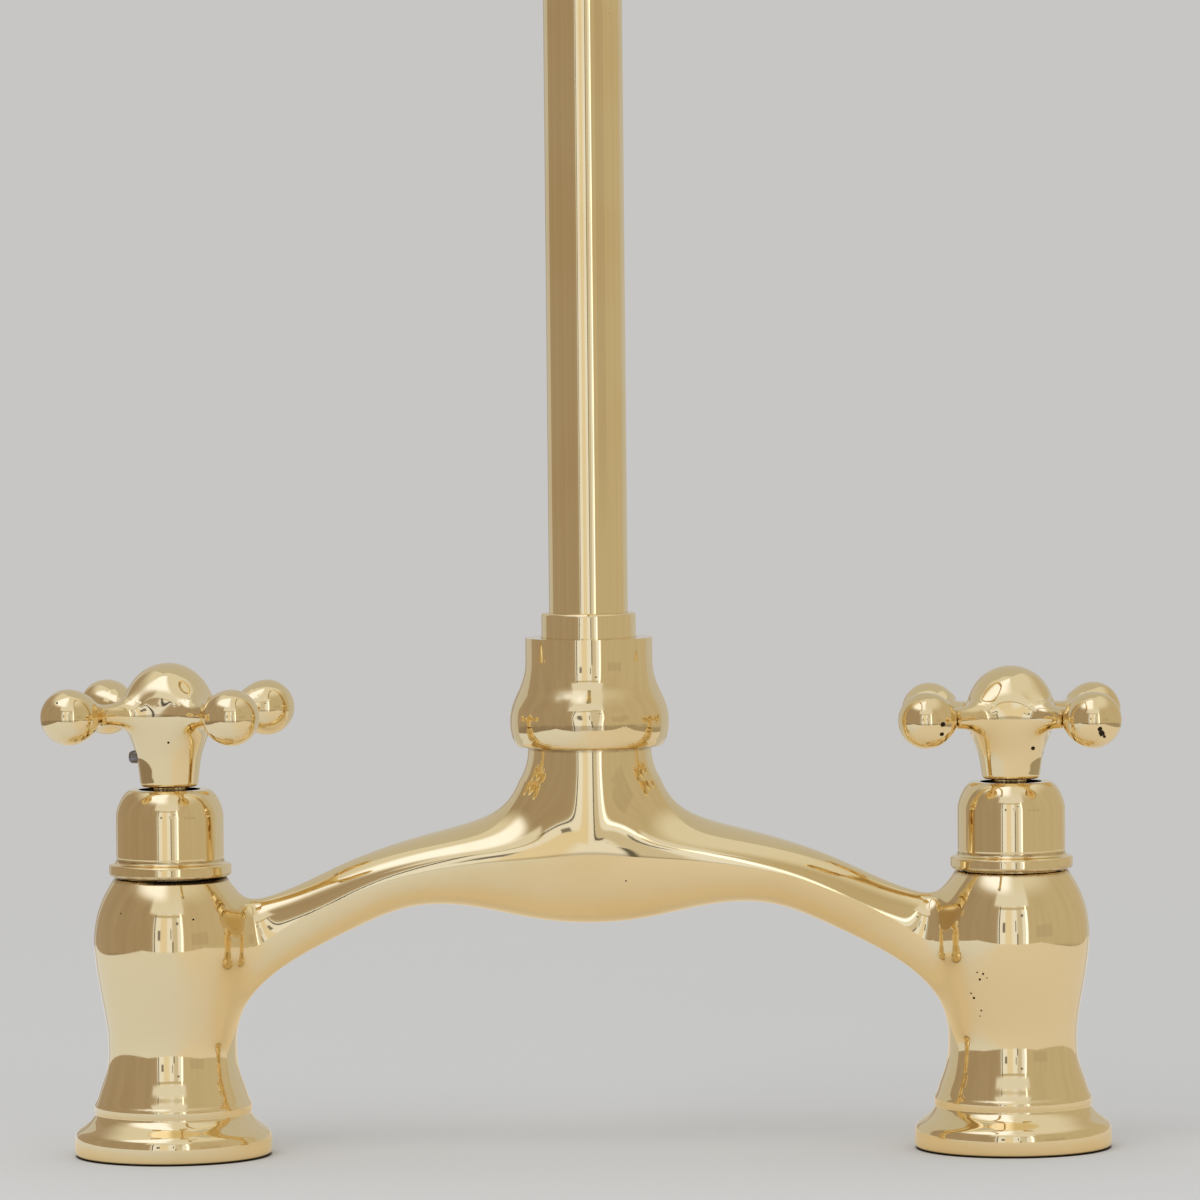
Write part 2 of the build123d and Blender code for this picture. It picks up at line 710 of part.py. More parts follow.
# ---------------------------------------------------------------- swivel nut and spigot
def swivel_nut():
    """Bell-shaped nut that holds the spout down on the neck and lets it turn."""
    skirt = (neck_r + thread_gap + nut_skirt_wall, nut_bottom)
    belly = (nut_belly_r, nut_bottom + nut_belly_rise)
    neck = (nut_neck_r, nut_bottom + nut_neck_rise)
    off_skirt = (skirt[0] + bell_off_skirt[0], skirt[1] + bell_off_skirt[1])
    nut = revolved(
        [
            Line((0, nut_bottom), skirt),
            Bezier(skirt, off_skirt, raised(belly, -bell_under_belly), belly),
            Bezier(belly, raised(belly, bell_over_belly), raised(neck, -bell_under_neck), neck),
            Line(neck, (nut_neck_r, nut_top)),
            Line((nut_neck_r, nut_top), (0, nut_top)),
            Line((0, nut_top), (0, nut_bottom)),
        ]
    )
    nut -= barrel(neck_r + thread_gap, nut_bottom - overcut, neck_top + loose_gap)
    nut -= barrel(neck_thread_r + thread_gap, nut_bottom, neck_mouth + loose_gap)
    nut -= barrel(split_ring_r + nut_ring_room, nut_bottom, nut_shoulder)
    return nut - barrel(collar_r + loose_gap, nut_bottom, nut_top + overcut)


def slip_washer():
    """Low-friction washer that the spout's spigot turns on."""
    return ring(spigot_bore_r, split_ring_r, neck_mouth, neck_mouth + slip_washer_thick)


def split_ring():
    """Ring in two halves that locks the spigot under the nut's top wall."""
    inner_r = collar_r - split_groove_depth + slip_fit
    whole = ring(inner_r, split_ring_r, ring_bottom, ring_top)
    saw_cut = Pos(0, 0, ring_top) * Box(split_saw_cut, 4 * split_ring_r, 4 * split_ring_height)
    return whole - saw_cut


def spigot_seal_heights():
    """Heights of the two rubber rings that seal the spigot in the neck."""
    bottom = spigot_shoulder - spigot_length
    return [between(bottom, neck_mouth, share) for share in spigot_ring_places]


def spigot_seal_outer_r():
    """Outer radius of those rings, just clear of the neck's bore."""
    return spigot_bore_r - slip_fit / 2


def spout_spigot():
    """Turned spigot of the spout: sealed sleeve, flange, ring groove and tube collar."""
    bottom = spigot_shoulder - spigot_length
    sleeve_r = spigot_bore_r - slip_fit
    spigot = revolved(
        [
            Line((0, bottom), (sleeve_r, bottom)),
            Line((sleeve_r, bottom), (sleeve_r, spigot_shoulder)),
            Line((sleeve_r, spigot_shoulder), (collar_r, spigot_shoulder)),
            Line((collar_r, spigot_shoulder), (collar_r, collar_top - collar_edge_round)),
            rounded_corner((collar_r, collar_top), collar_edge_round, up=True),
            Line((collar_r - collar_edge_round, collar_top), (0, collar_top)),
            Line((0, collar_top), (0, bottom)),
        ]
    )
    spigot -= barrel(spigot_water_r, bottom - overcut, collar_top)
    spigot -= barrel(tube_r + slip_fit, tube_seat, collar_top + overcut)
    for height in spigot_seal_heights():
        spigot -= seal_groove(spigot_ring_r, spigot_seal_outer_r(), height)
    groove_floor = collar_r - split_groove_depth
    return spigot - ring(groove_floor, 2 * collar_r, ring_bottom - seat_gap, ring_top + seat_gap)


def spigot_seals():
    """The two rubber rings between the spigot and the neck."""
    return Compound(
        children=[
            seal_ring(spigot_ring_r, spigot_seal_outer_r(), height)
            for height in spigot_seal_heights()
        ]
    )


# ---------------------------------------------------------------- spout and outlet
def spout_tube():
    """The swan neck: one bent tube, up, over and down towards the user."""
    bend_start = Vector(0, 0, bend_height)
    bend_mid = Vector(0, -spout_bend_r, bend_height + spout_bend_r)
    bend_end = Vector(0, outlet_y, bend_height)
    path = Wire(
        [
            Line(Vector(0, 0, tube_seat), bend_start),
            ThreePointArc(bend_start, bend_mid, bend_end),
            Line(bend_end, Vector(0, outlet_y, tube_end)),
        ]
    )
    start = Pos(0, 0, tube_seat)
    outside = sweep(start * Circle(tube_r), path)
    return outside - sweep(start * Circle(tube_inner_r), path)


def at_outlet(shape):
    """Moves a piece made about Z to the spout's outlet."""
    return Pos(0, outlet_y, 0) * shape


def outlet_sleeve():
    """Thick sleeve on the spout's end that carries the aerator."""
    sleeve = revolved(
        [
            Line((0, outlet_bottom), (outlet_r, outlet_bottom)),
            Line((outlet_r, outlet_bottom), (outlet_r, outlet_top - outlet_edge_round)),
            rounded_corner((outlet_r, outlet_top), outlet_edge_round, up=True),
            Line((outlet_r - outlet_edge_round, outlet_top), (0, outlet_top)),
            Line((0, outlet_top), (0, outlet_bottom)),
        ]
    )
    sleeve -= barrel(tube_r + slip_fit, tube_end, outlet_top + overcut)
    sleeve -= barrel(tube_inner_r, outlet_bottom, tube_end)
    socket_r = aerator_thread_r + thread_gap
    return sleeve - barrel(socket_r, outlet_bottom - overcut, aerator_ceiling)


def aerator_inner_r():
    """Inside radius of the aerator's shell."""
    return aerator_thread_r - aerator_wall


def aerator_shell():
    """Threaded brass shell of the aerator with its rim and two spanner flats."""
    low = outlet_bottom - aerator_rim
    rim_r = outlet_r - aerator_rim_step
    shell = barrel(rim_r, low, outlet_bottom)
    flats = Box(2 * (rim_r - aerator_flat_depth), 4 * rim_r, aerator_rim)
    shell &= Pos(0, 0, (low + outlet_bottom) / 2) * flats
    shell += barrel(aerator_thread_r, outlet_bottom, aerator_ceiling - aerator_washer_thick)
    shell -= barrel(aerator_inner_r(), low + aerator_lip, aerator_ceiling)
    return shell - barrel(aerator_inner_r() - aerator_lip, low - overcut, aerator_ceiling)


def aerator_insert():
    """Moulded honeycomb that evens out the stream."""
    low = outlet_bottom - aerator_rim + aerator_lip
    body = barrel(aerator_inner_r() - slip_fit, low, low + insert_thick)
    pitch = (aerator_inner_r() - 2 * aerator_lip) / (insert_hole_rings - 0.5)
    holes = []
    for row in range(1, insert_hole_rings):
        count = 6 * row
        for index in range(count):
            place = Rot(0, 0, 360 * index / count) * Pos(row * pitch, 0, low)
            holes.append(place * Cylinder(insert_hole_r, 4 * insert_thick))
    return body - holes


def aerator_screen():
    """Square-mesh strainer above the honeycomb."""
    low = outlet_bottom - aerator_rim + aerator_lip + insert_thick
    radius = aerator_inner_r() - slip_fit
    reach = radius - screen_pitch
    count = int(reach / screen_pitch)
    disc = Circle(radius)
    for column in range(-count, count + 1):
        for row in range(-count, count + 1):
            x, y = column * screen_pitch, row * screen_pitch
            if math.hypot(x, y) < reach:
                disc -= Pos(x, y) * Rectangle(screen_hole, screen_hole)
    return Pos(0, 0, low) * extrude(disc, screen_thick)


def aerator_washer():
    """Rubber washer between the aerator and the sleeve's ledge."""
    inner_r = aerator_inner_r() - aerator_lip
    return ring(inner_r, aerator_thread_r, aerator_ceiling - aerator_washer_thick, aerator_ceiling)


# ---------------------------------------------------------------- writing the parts
def write_valve(side):
    """Writes one pillar's seal, cartridge and cap; the right one mirrors the left."""
    place = Pos(SIDES[side] * half_span, 0, 0)
    pieces = {
        "deck_seal": deck_seal(),
        "seat_seal": seat_seal(),
        "fixed_disc": fixed_disc(),
        "moving_disc": moving_disc(),
        "cartridge_body": cartridge_body(),
        "flange_seal": flange_seal(),
        "spindle": spindle(),
        "spindle_seals": spindle_seals(),
        "circlip": circlip(),
        "thrust_washer": thrust_washer(),
        "bonnet_cap": bonnet_cap(),
    }
    for name, piece in pieces.items():
        handed = piece if side == "left" else mirror(piece, about=Plane.XZ)
        write(f"{name}_{side}", place * handed)


def write_handle(side, dome_height, arm_angle, grub_angle, grub_inner_end):
    """Writes one cross handle and its grub screw."""
    place = Pos(SIDES[side] * half_span, 0, 0)
    write(f"handle_{side}", place * cross_handle(dome_height, arm_angle, grub_angle))
    write(f"grub_screw_{side}", place * grub_screw(grub_angle, grub_inner_end))


def write_spout():
    """Writes the pieces that turn with the spout."""
    write("spout_tube", spout_tube())
    write("spout_spigot", spout_spigot())
    write("spigot_seals", spigot_seals())
    write("split_ring", split_ring())
    write("outlet_sleeve", at_outlet(outlet_sleeve()))
    write("aerator_shell", at_outlet(aerator_shell()))
    write("aerator_insert", at_outlet(aerator_insert()))
    write("aerator_screen", at_outlet(aerator_screen()))
    write("aerator_washer", at_outlet(aerator_washer()))


if __name__ == "__main__":
    os.makedirs("parts", exist_ok=True)
    write("bridge_casting", bridge_casting())
    write("swivel_nut", swivel_nut())
    write("slip_washer", slip_washer())
    for side_name in SIDES:
        write_valve(side_name)
    screwed_in = spline_r + loose_gap
    backed_out = screwed_in + left_grub_back_out
    write_handle("left", left_dome_height, left_arm_angle, left_grub_angle, backed_out)
    write_handle("right", right_dome_height, right_arm_angle, right_grub_angle, screwed_in)
    write_spout()
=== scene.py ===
"""Looks of a bridge kitchen tap in polished cast brass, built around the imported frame.

Sizes are in millimetres in the classes and are turned to metres where a mesh is made.
+Z is up, +X runs from the left pillar to the right one, and -Y points at the user.
"""

import logging
import math
from collections.abc import Callable, Sequence
from dataclasses import dataclass
from enum import Enum
from typing import Any

import bmesh
import bpy
import numpy as np
from mathutils import Euler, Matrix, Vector


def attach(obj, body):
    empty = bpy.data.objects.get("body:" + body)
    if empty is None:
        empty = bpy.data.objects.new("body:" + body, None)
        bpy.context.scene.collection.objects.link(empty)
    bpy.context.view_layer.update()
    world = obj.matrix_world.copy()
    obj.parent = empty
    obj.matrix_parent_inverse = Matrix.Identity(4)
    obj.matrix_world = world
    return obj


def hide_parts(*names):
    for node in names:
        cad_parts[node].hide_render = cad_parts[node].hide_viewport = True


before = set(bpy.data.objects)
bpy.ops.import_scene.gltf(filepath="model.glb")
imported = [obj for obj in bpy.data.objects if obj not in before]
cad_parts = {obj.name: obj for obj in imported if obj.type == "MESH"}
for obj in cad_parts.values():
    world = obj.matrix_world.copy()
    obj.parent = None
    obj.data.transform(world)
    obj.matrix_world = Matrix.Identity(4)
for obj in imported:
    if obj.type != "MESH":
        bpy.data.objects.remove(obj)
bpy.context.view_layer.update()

LOG = logging.getLogger("bridge_tap")
MM = 0.001
HALF_SPAN = 101.5
Colour = tuple[float, float, float]
Knots = Sequence[tuple[float, float]]
Spots = tuple[tuple[float, float, float], ...]
Field = Callable[[np.ndarray], np.ndarray]


class Side(Enum):
    """The two pillars, with the sign of their place along X."""

    LEFT = -1
    RIGHT = 1

    @property
    def tag(self) -> str:
        """The side's name as the nodes' names end with it."""
        return self.name.lower()

    @property
    def body(self) -> str:
        """The body that turns with this side's handle."""
        return f"handle_{self.tag}"

    @property
    def axis_x(self) -> float:
        """Where the pillar's axis stands along X."""
        return self.value * HALF_SPAN


class Lay(Enum):
    """Direction in which a surface was polished last."""

    UPRIGHT = "upright"
    ROUND = "round"
    ALONG = "along"


# ---------------------------------------------------------------- node trees
class Number:
    """A number socket of a node tree; arithmetic on it adds Math nodes."""

    def __init__(self, graph: "Graph", socket: bpy.types.NodeSocket) -> None:
        """Wraps one socket of a graph."""
        self.graph = graph
        self.socket = socket

    def math(self, operation: str, *values: Any) -> "Number":
        """Adds one Math node with these inputs and gives its result."""
        made = self.graph.node("ShaderNodeMath", {"operation": operation}, dict(enumerate(values)))
        return self.graph.number(made)

    def __add__(self, other: Any) -> "Number":
        """Sum."""
        return self.math("ADD", self, other)

    def __sub__(self, other: Any) -> "Number":
        """Difference."""
        return self.math("SUBTRACT", self, other)

    def __rsub__(self, other: Any) -> "Number":
        """Difference from a plain number."""
        return self.math("SUBTRACT", other, self)

    def __mul__(self, other: Any) -> "Number":
        """Product."""
        return self.math("MULTIPLY", self, other)

    def __truediv__(self, other: Any) -> "Number":
        """Quotient."""
        return self.math("DIVIDE", self, other)

    def __neg__(self) -> "Number":
        """The number with its sign turned."""
        return self.math("MULTIPLY", self, -1.0)

    __radd__ = __add__
    __rmul__ = __mul__

    def of(self, operation: str, *others: Any) -> "Number":
        """This number put through one Math operation."""
        return self.math(operation, self, *others)

    def ease(self, low: float, high: float) -> "Number":
        """Smooth step from 0 at low to 1 at high; low may be the larger."""
        sockets = {"Value": self, "From Min": low, "From Max": high}
        settings = {"interpolation_type": "SMOOTHSTEP"}
        return self.graph.number(self.graph.node("ShaderNodeMapRange", settings, sockets))

    def band(self, low: float, high: float, soft: float) -> "Number":
        """1 between two values and 0 outside them, with soft edges of this width."""
        return self.ease(low - soft, low + soft) * self.ease(high + soft, high - soft)


class Graph:
    """One node tree, of a material, the world or a Geometry Nodes group."""

    def __init__(self, tree: bpy.types.NodeTree) -> None:
        """Empties the tree and keeps it."""
        self.tree = tree
        tree.nodes.clear()

    def feed(self, socket: bpy.types.NodeSocket, value: Any) -> None:
        """Links a socket to another or to a node's first output, or sets its own value."""
        if isinstance(value, Number):
            value = value.socket
        if isinstance(value, bpy.types.Node):
            value = value.outputs[0]
        if isinstance(value, bpy.types.NodeSocket):
            self.tree.links.new(value, socket)
        else:
            socket.default_value = value

    def node(
        self, kind: str, settings: dict[str, Any] | None = None, sockets: dict | None = None
    ) -> bpy.types.Node:
        """Adds a node.

        Args:
            kind: the node's type.
            settings: its properties, set first.
            sockets: values or links of its inputs, by name or by number.

        Returns:
            The node.
        """
        made = self.tree.nodes.new(kind)
        for name, value in (settings or {}).items():
            setattr(made, name, value)
        for key, value in (sockets or {}).items():
            self.feed(made.inputs[key], value)
        return made

    def number(self, node: bpy.types.Node, output: str | int = 0) -> Number:
        """One output of a node as a Number."""
        return Number(self, node.outputs[output])

    def parts(self, vector: Any) -> list[Number]:
        """The three components of a vector."""
        split = self.node("ShaderNodeSeparateXYZ", {}, {0: vector})
        return [self.number(split, index) for index in range(3)]

    def combined(self, x: Any, y: Any, z: Any) -> bpy.types.NodeSocket:
        """A vector made of three numbers."""
        return self.node("ShaderNodeCombineXYZ", {}, {0: x, 1: y, 2: z}).outputs[0]

    def mixed(self, share: Any, first: Any, second: Any) -> bpy.types.NodeSocket:
        """Mixes two colours.

        Args:
            share: how much of the second one is taken.
            first: a colour or a colour socket.
            second: a colour or a colour socket.

        Returns:
            The mixed colour's socket.
        """
        ends = [(*c, 1.0) if isinstance(c, tuple) else c for c in (first, second)]
        settings = {"data_type": "RGBA"}
        made = self.node("ShaderNodeMix", settings, {0: share, 6: ends[0], 7: ends[1]})
        return made.outputs[2]

    def vector(self, operation: str, *values: Any, scale: Any = None) -> bpy.types.NodeSocket:
        """Adds one Vector Math node and gives its vector."""
        made = self.node("ShaderNodeVectorMath", {"operation": operation}, dict(enumerate(values)))
        if scale is not None:
            self.feed(made.inputs["Scale"], scale)
        return made.outputs[0]

    def noise(self, place: Any, size: float, detail: float = 2.0, seed: float = 0.0) -> Number:
        """Fractal noise.

        Args:
            place: the coordinates' socket.
            size: about how large its blotches are, in the coordinates' unit.
            detail: number of finer layers.
            seed: moves the pattern, so that two layers differ.

        Returns:
            A number from 0 to 1, mostly near a half.
        """
        sockets = {"Vector": place, "W": seed, "Scale": 1.0 / size, "Detail": detail}
        made = self.node("ShaderNodeTexNoise", {"noise_dimensions": "4D"}, sockets)
        return self.number(made, "Fac")


def new_material(name: str) -> tuple[bpy.types.Material, Graph]:
    """Starts a material with an empty node tree."""
    made = bpy.data.materials.new(name)
    made.use_nodes = True
    return made, Graph(made.node_tree)


# ---------------------------------------------------------------- finishes
@dataclass(frozen=True)
class Mark:
    """What a blemish adds where it lies: roughness, and depth in millimetres."""

    rough: float
    depth: float


PIT, STAIN, HOLE = Mark(0.20, 0.02), Mark(0.25, 0.01), Mark(0.40, 0.15)


@dataclass(frozen=True)
class Finish:
    """What every finish has: a name, a colour and a roughness."""

    name: str
    colour: Colour
    roughness: float

    def material(self) -> bpy.types.Material:
        """Builds the material, once for each finish.

        Returns:
            The material, whose surface is one Principled shader.
        """
        known = bpy.data.materials.get(self.name)
        if known:
            return known
        made, graph = new_material(self.name)
        shader = graph.node("ShaderNodeBsdfPrincipled", {}, {"Base Color": (*self.colour, 1.0)})
        graph.node("ShaderNodeOutputMaterial", {}, {"Surface": shader})
        self.paint(graph, shader, self.place(graph))
        return made

    def place(self, graph: Graph) -> bpy.types.NodeSocket:
        """Object coordinates in millimetres."""
        coordinates = graph.node("ShaderNodeTexCoord")
        return graph.vector("SCALE", coordinates.outputs["Object"], scale=1 / MM)

    def paint(self, graph: Graph, shader: bpy.types.Node, place: bpy.types.NodeSocket) -> None:
        """Links what varies over the surface into the shader."""
        raise NotImplementedError

    def relief(self, graph: Graph, shader: bpy.types.Node, height: Number) -> None:
        """Feeds a height in millimetres into the shader's normal."""
        bump = graph.node("ShaderNodeBump", {}, {"Height": height * MM, "Distance": 1.0})
        graph.feed(shader.inputs["Normal"], bump)


@dataclass(frozen=True)
class Brass(Finish):
    """Unlacquered brass, polished by hand or left as machined; sizes in millimetres.

    A seam is its level, its spread and the |x| where it starts. A gap shadow is painted shade
    where a cap stands off its pillar: its level, its spread and its two ends along X. A pinhole
    is its x, its z and its radius. Uneven is a belt's two levels and how rough it is.
    """

    lay: Lay = Lay.UPRIGHT
    axis_x: float = 0.0
    warm: Colour = (0.80, 0.59, 0.26)
    stain: Colour = (0.30, 0.19, 0.08)
    # dark: colour of the casting pinholes, and of the painted shadow in a cap's gap
    dark: Colour = (0.035, 0.024, 0.015)
    ripple_size: float = 10.0
    ripple: float = 0.010
    peel_size: float = 1.3
    peeled_size: float = 9.0
    peel: float = 0.0012
    line_size: float = 0.45
    line_length: float = 16.0
    line_r: float = 8.0
    line: float = 0.0004
    line_tint: float = 0.10
    patch_size: float = 26.0
    patches: float = 0.30
    blotch_size: float = 2.5
    pit_spacing: float = 3.2
    pit_edge: tuple[float, float] = (0.055, 0.03)
    pits: float = 0.95
    pit_tint: float = 0.8
    seams: Spots = ()
    # Painted shadow in the gap where a cap stands off its pillar
    gap_shadows: tuple[tuple[float, float, float, float], ...] = ()
    gap_shadow_fade: float = 3.0
    pinholes: Spots = ()
    front: tuple[float, float] = (-1.0, -2.0)
    uneven: tuple[float, float, float] | None = None
    uneven_size: float = 5.0
    uneven_fade: float = 3.0

    def line_place(self, graph: Graph, place: bpy.types.NodeSocket) -> bpy.types.NodeSocket:
        """Coordinates stretched along the polishing lines.

        Args:
            graph: the material's nodes.
            place: object coordinates in millimetres.

        Returns:
            Coordinates in which one line is one unit wide.
        """
        fine, long = 1 / self.line_size, 1 / self.line_length
        if self.lay is Lay.ALONG:
            section = graph.node("ShaderNodeAttribute", {"attribute_name": SwanNeck.SECTION})
            return graph.vector("MULTIPLY", section.outputs["Vector"], (fine, fine, long))
        if self.lay is Lay.UPRIGHT:
            return graph.vector("MULTIPLY", place, (fine, fine, long))
        x, y, z = graph.parts(graph.vector("SUBTRACT", place, (self.axis_x, 0.0, 0.0)))
        radius = (x * x + y * y).of("SQRT")
        turn = long * self.line_r
        return graph.combined(x / radius * turn, y / radius * turn, (z + radius) * fine)

    def pitted(self, graph: Graph, place: bpy.types.NodeSocket) -> Number:
        """Where fine pits lie, in a few of the cells that the surface is divided into."""
        sockets = {"Vector": place, "Scale": 1 / self.pit_spacing}
        cells = graph.node("ShaderNodeTexVoronoi", {"feature": "F1"}, sockets)
        chance = graph.node("ShaderNodeSeparateColor", {}, {0: cells.outputs["Color"]})
        chosen = graph.number(chance).ease(self.pits, self.pits + 0.01)
        return graph.number(cells, "Distance").ease(*self.pit_edge) * chosen

    def soiled(self, graph: Graph, place: bpy.types.NodeSocket) -> tuple[Number, Number]:
        """Where polish and tarnish stay behind, where pinholes open the brass, and where gap shadow
        is painted.

        Args:
            graph: the material's nodes.
            place: object coordinates in millimetres.

        Returns:
            How stained the seams are, and where casting pinholes and the painted gap shadow lie.
        """
        side, depth, height = graph.parts(place)
        across = side.of("ABSOLUTE")
        blotch = graph.noise(place, self.blotch_size, 2.0, seed=7.0).ease(0.35, 0.75)
        stain = hole = height * 0.0
        for level, spread, inner in self.seams:
            near = (height - level).of("ABSOLUTE").ease(spread, 0.0) * across.ease(inner - 1, inner)
            stain = stain.of("MAXIMUM", near * (0.35 + 0.55 * blotch))
        # Painted shadow in the gap between a cap and its pillar, in the same mask as the pinholes
        for level, spread, start, end in self.gap_shadows:
            near = (height - level).of("ABSOLUTE").ease(spread, spread * 0.4)
            hole = hole.of("MAXIMUM", near * side.band(start, end, self.gap_shadow_fade))
        for hole_x, hole_z, radius in self.pinholes:
            aside, above = side - hole_x, height - hole_z
            ragged = (aside * aside + above * above).of("SQRT") + (blotch - 0.5) * radius
            hole = hole.of("MAXIMUM", ragged.ease(radius, radius * 0.6) * depth.ease(*self.front))
        return stain, hole

    def waves(self, graph: Graph, place: bpy.types.NodeSocket, lines: Number) -> Number:
        """Height in millimetres of what the mould, the mop and the polish left."""
        peel = graph.noise(place, self.peel_size, 2.0, seed=9.0)
        peel = peel * graph.noise(place, self.peeled_size, 1.0, seed=11.0).ease(0.5, 0.7)
        waves = graph.noise(place, self.ripple_size, 1.0, seed=1.0) * self.ripple
        waves = waves + peel * self.peel + lines * self.line
        if self.uneven:
            low, high, rise = self.uneven
            belt = graph.parts(place)[2].band(low, high, self.uneven_fade)
            rough = graph.noise(place, self.uneven_size, 1.0, seed=13.0)
            waves = waves + rough * belt * rise
        return waves

    def paint(self, graph: Graph, shader: bpy.types.Node, place: bpy.types.NodeSocket) -> None:
        """Waves left by the mop, polishing lines, warm patches, pits, stains and painted gap
        shadow.
        """
        lines = graph.noise(self.line_place(graph, place), 1.0, 2.0, seed=3.0)
        patch = graph.noise(place, self.patch_size, 3.0, seed=5.0).ease(0.45, 0.72)
        pit = self.pitted(graph, place)
        stain, hole = self.soiled(graph, place)
        tone = (patch * self.patches + (lines - 0.5) * self.line_tint).of("MAXIMUM", 0.0)
        colour = graph.mixed(tone, self.colour, self.warm)
        colour = graph.mixed(stain.of("MAXIMUM", pit * self.pit_tint), colour, self.stain)
        # Pinholes and the painted gap shadow both take the dark colour
        colour = graph.mixed(hole, colour, self.dark)
        graph.feed(shader.inputs["Base Color"], colour)
        shader.inputs["Metallic"].default_value = 1.0
        rough = self.roughness * (0.75 + 0.4 * patch + 0.25 * lines)
        rough = rough + STAIN.rough * stain + PIT.rough * pit + HOLE.rough * hole
        graph.feed(shader.inputs["Roughness"], rough)
        dents = pit * PIT.depth + stain * STAIN.depth + hole * HOLE.depth
        self.relief(graph, shader, self.waves(graph, place, lines) - dents)


@dataclass(frozen=True)
class Steel(Finish):
    """Steel, bright or darkened, with fine turning marks and rubbed edges."""

    rust: Colour = (0.20, 0.11, 0.06)
    grain: float = 0.35

    def paint(self, graph: Graph, shader: bpy.types.Node, place: bpy.types.NodeSocket) -> None:
        """Fine grain, a little rust and uneven gloss."""
        grain = graph.noise(place, self.grain, 3.0, 1.0)
        rust = graph.noise(place, 1.4, 3.0, 4.0).ease(0.52, 0.72)
        graph.feed(shader.inputs["Base Color"], graph.mixed(rust * 0.5, self.colour, self.rust))
        graph.feed(shader.inputs["Roughness"], self.roughness + 0.2 * rust + 0.1 * grain)
        graph.feed(shader.inputs["Metallic"], 1.0 - 0.6 * rust)
        self.relief(graph, shader, grain * 0.006)


@dataclass(frozen=True)
class Moulded(Finish):
    """Rubber, ceramic or plastic: grain, slight mottling and uneven gloss."""

    grain: float = 0.5
    depth: float = 0.004
    shade: float = 0.8

    def paint(self, graph: Graph, shader: bpy.types.Node, place: bpy.types.NodeSocket) -> None:
        """A fine grain and a slow change of tone."""
        grain = graph.noise(place, self.grain, 2.0, 1.0)
        slow = graph.noise(place, 6.0, 2.0, 2.0).ease(0.35, 0.7)
        darker = tuple(channel * self.shade for channel in self.colour)
        graph.feed(shader.inputs["Base Color"], graph.mixed(slow, self.colour, darker))
        graph.feed(shader.inputs["Roughness"], self.roughness * (0.85 + 0.3 * grain))
        self.relief(graph, shader, grain * self.depth)


BRASS: Colour = (0.885, 0.715, 0.405)
CASTING_BRASS = Brass(
    "brass_casting",
    BRASS,
    0.05,
    seams=((67.2, 1.1, 80.0), (98.0, 0.9, 0.0)),
    # Painted shadow in the gap under the left cap
    gap_shadows=((67.2, 0.8, -107.0, -88.0),),
    pinholes=(
        (93.7, 43.6, 0.20), (94.6, 42.6, 0.16), (92.9, 42.2, 0.22), (92.3, 43.9, 0.14),
        (93.3, 34.6, 0.17), (93.0, 33.2, 0.14), (91.6, 37.6, 0.24), (90.9, 38.7, 0.16),
        (8.4, 66.5, 0.16), (-95.2, 58.5, 0.18), (-112.8, 59.8, 0.16),
    ),
)
NUT_BRASS = Brass(
    "brass_nut", BRASS, 0.05, lay=Lay.ROUND, ripple_size=8.0, ripple=0.022, peel=0.002,
    seams=((98.3, 0.5, 0.0),), uneven=(105.0, 111.0, 0.36),
)
TUBE_BRASS = Brass(
    "brass_tube", BRASS, 0.04, lay=Lay.ALONG, ripple=0.002, peel=0.0, line=0.0003, line_length=90.0
)
MACHINED_BRASS = Brass(
    "brass_machined", (0.84, 0.66, 0.36), 0.22, lay=Lay.ROUND, ripple=0.001, peel=0.0, line=0.004
)
GRUB_STEEL = Steel("steel_grub", (0.24, 0.225, 0.21), 0.24, rust=(0.07, 0.045, 0.03))
SPRING_STEEL = Steel("steel_spring", (0.42, 0.42, 0.43), 0.30)
MESH_STEEL = Steel("steel_mesh", (0.66, 0.66, 0.66), 0.28, rust=(0.45, 0.43, 0.40))
CERAMIC = Moulded("ceramic_disc", (0.90, 0.89, 0.85), 0.18, depth=0.001, shade=0.95)
RUBBER = Moulded("rubber_seal", (0.045, 0.045, 0.048), 0.55, shade=0.7)
PTFE = Moulded("ptfe_washer", (0.88, 0.88, 0.86), 0.45, shade=0.93)
NYLON = Moulded("nylon_insert", (0.78, 0.78, 0.75), 0.38, shade=0.92)


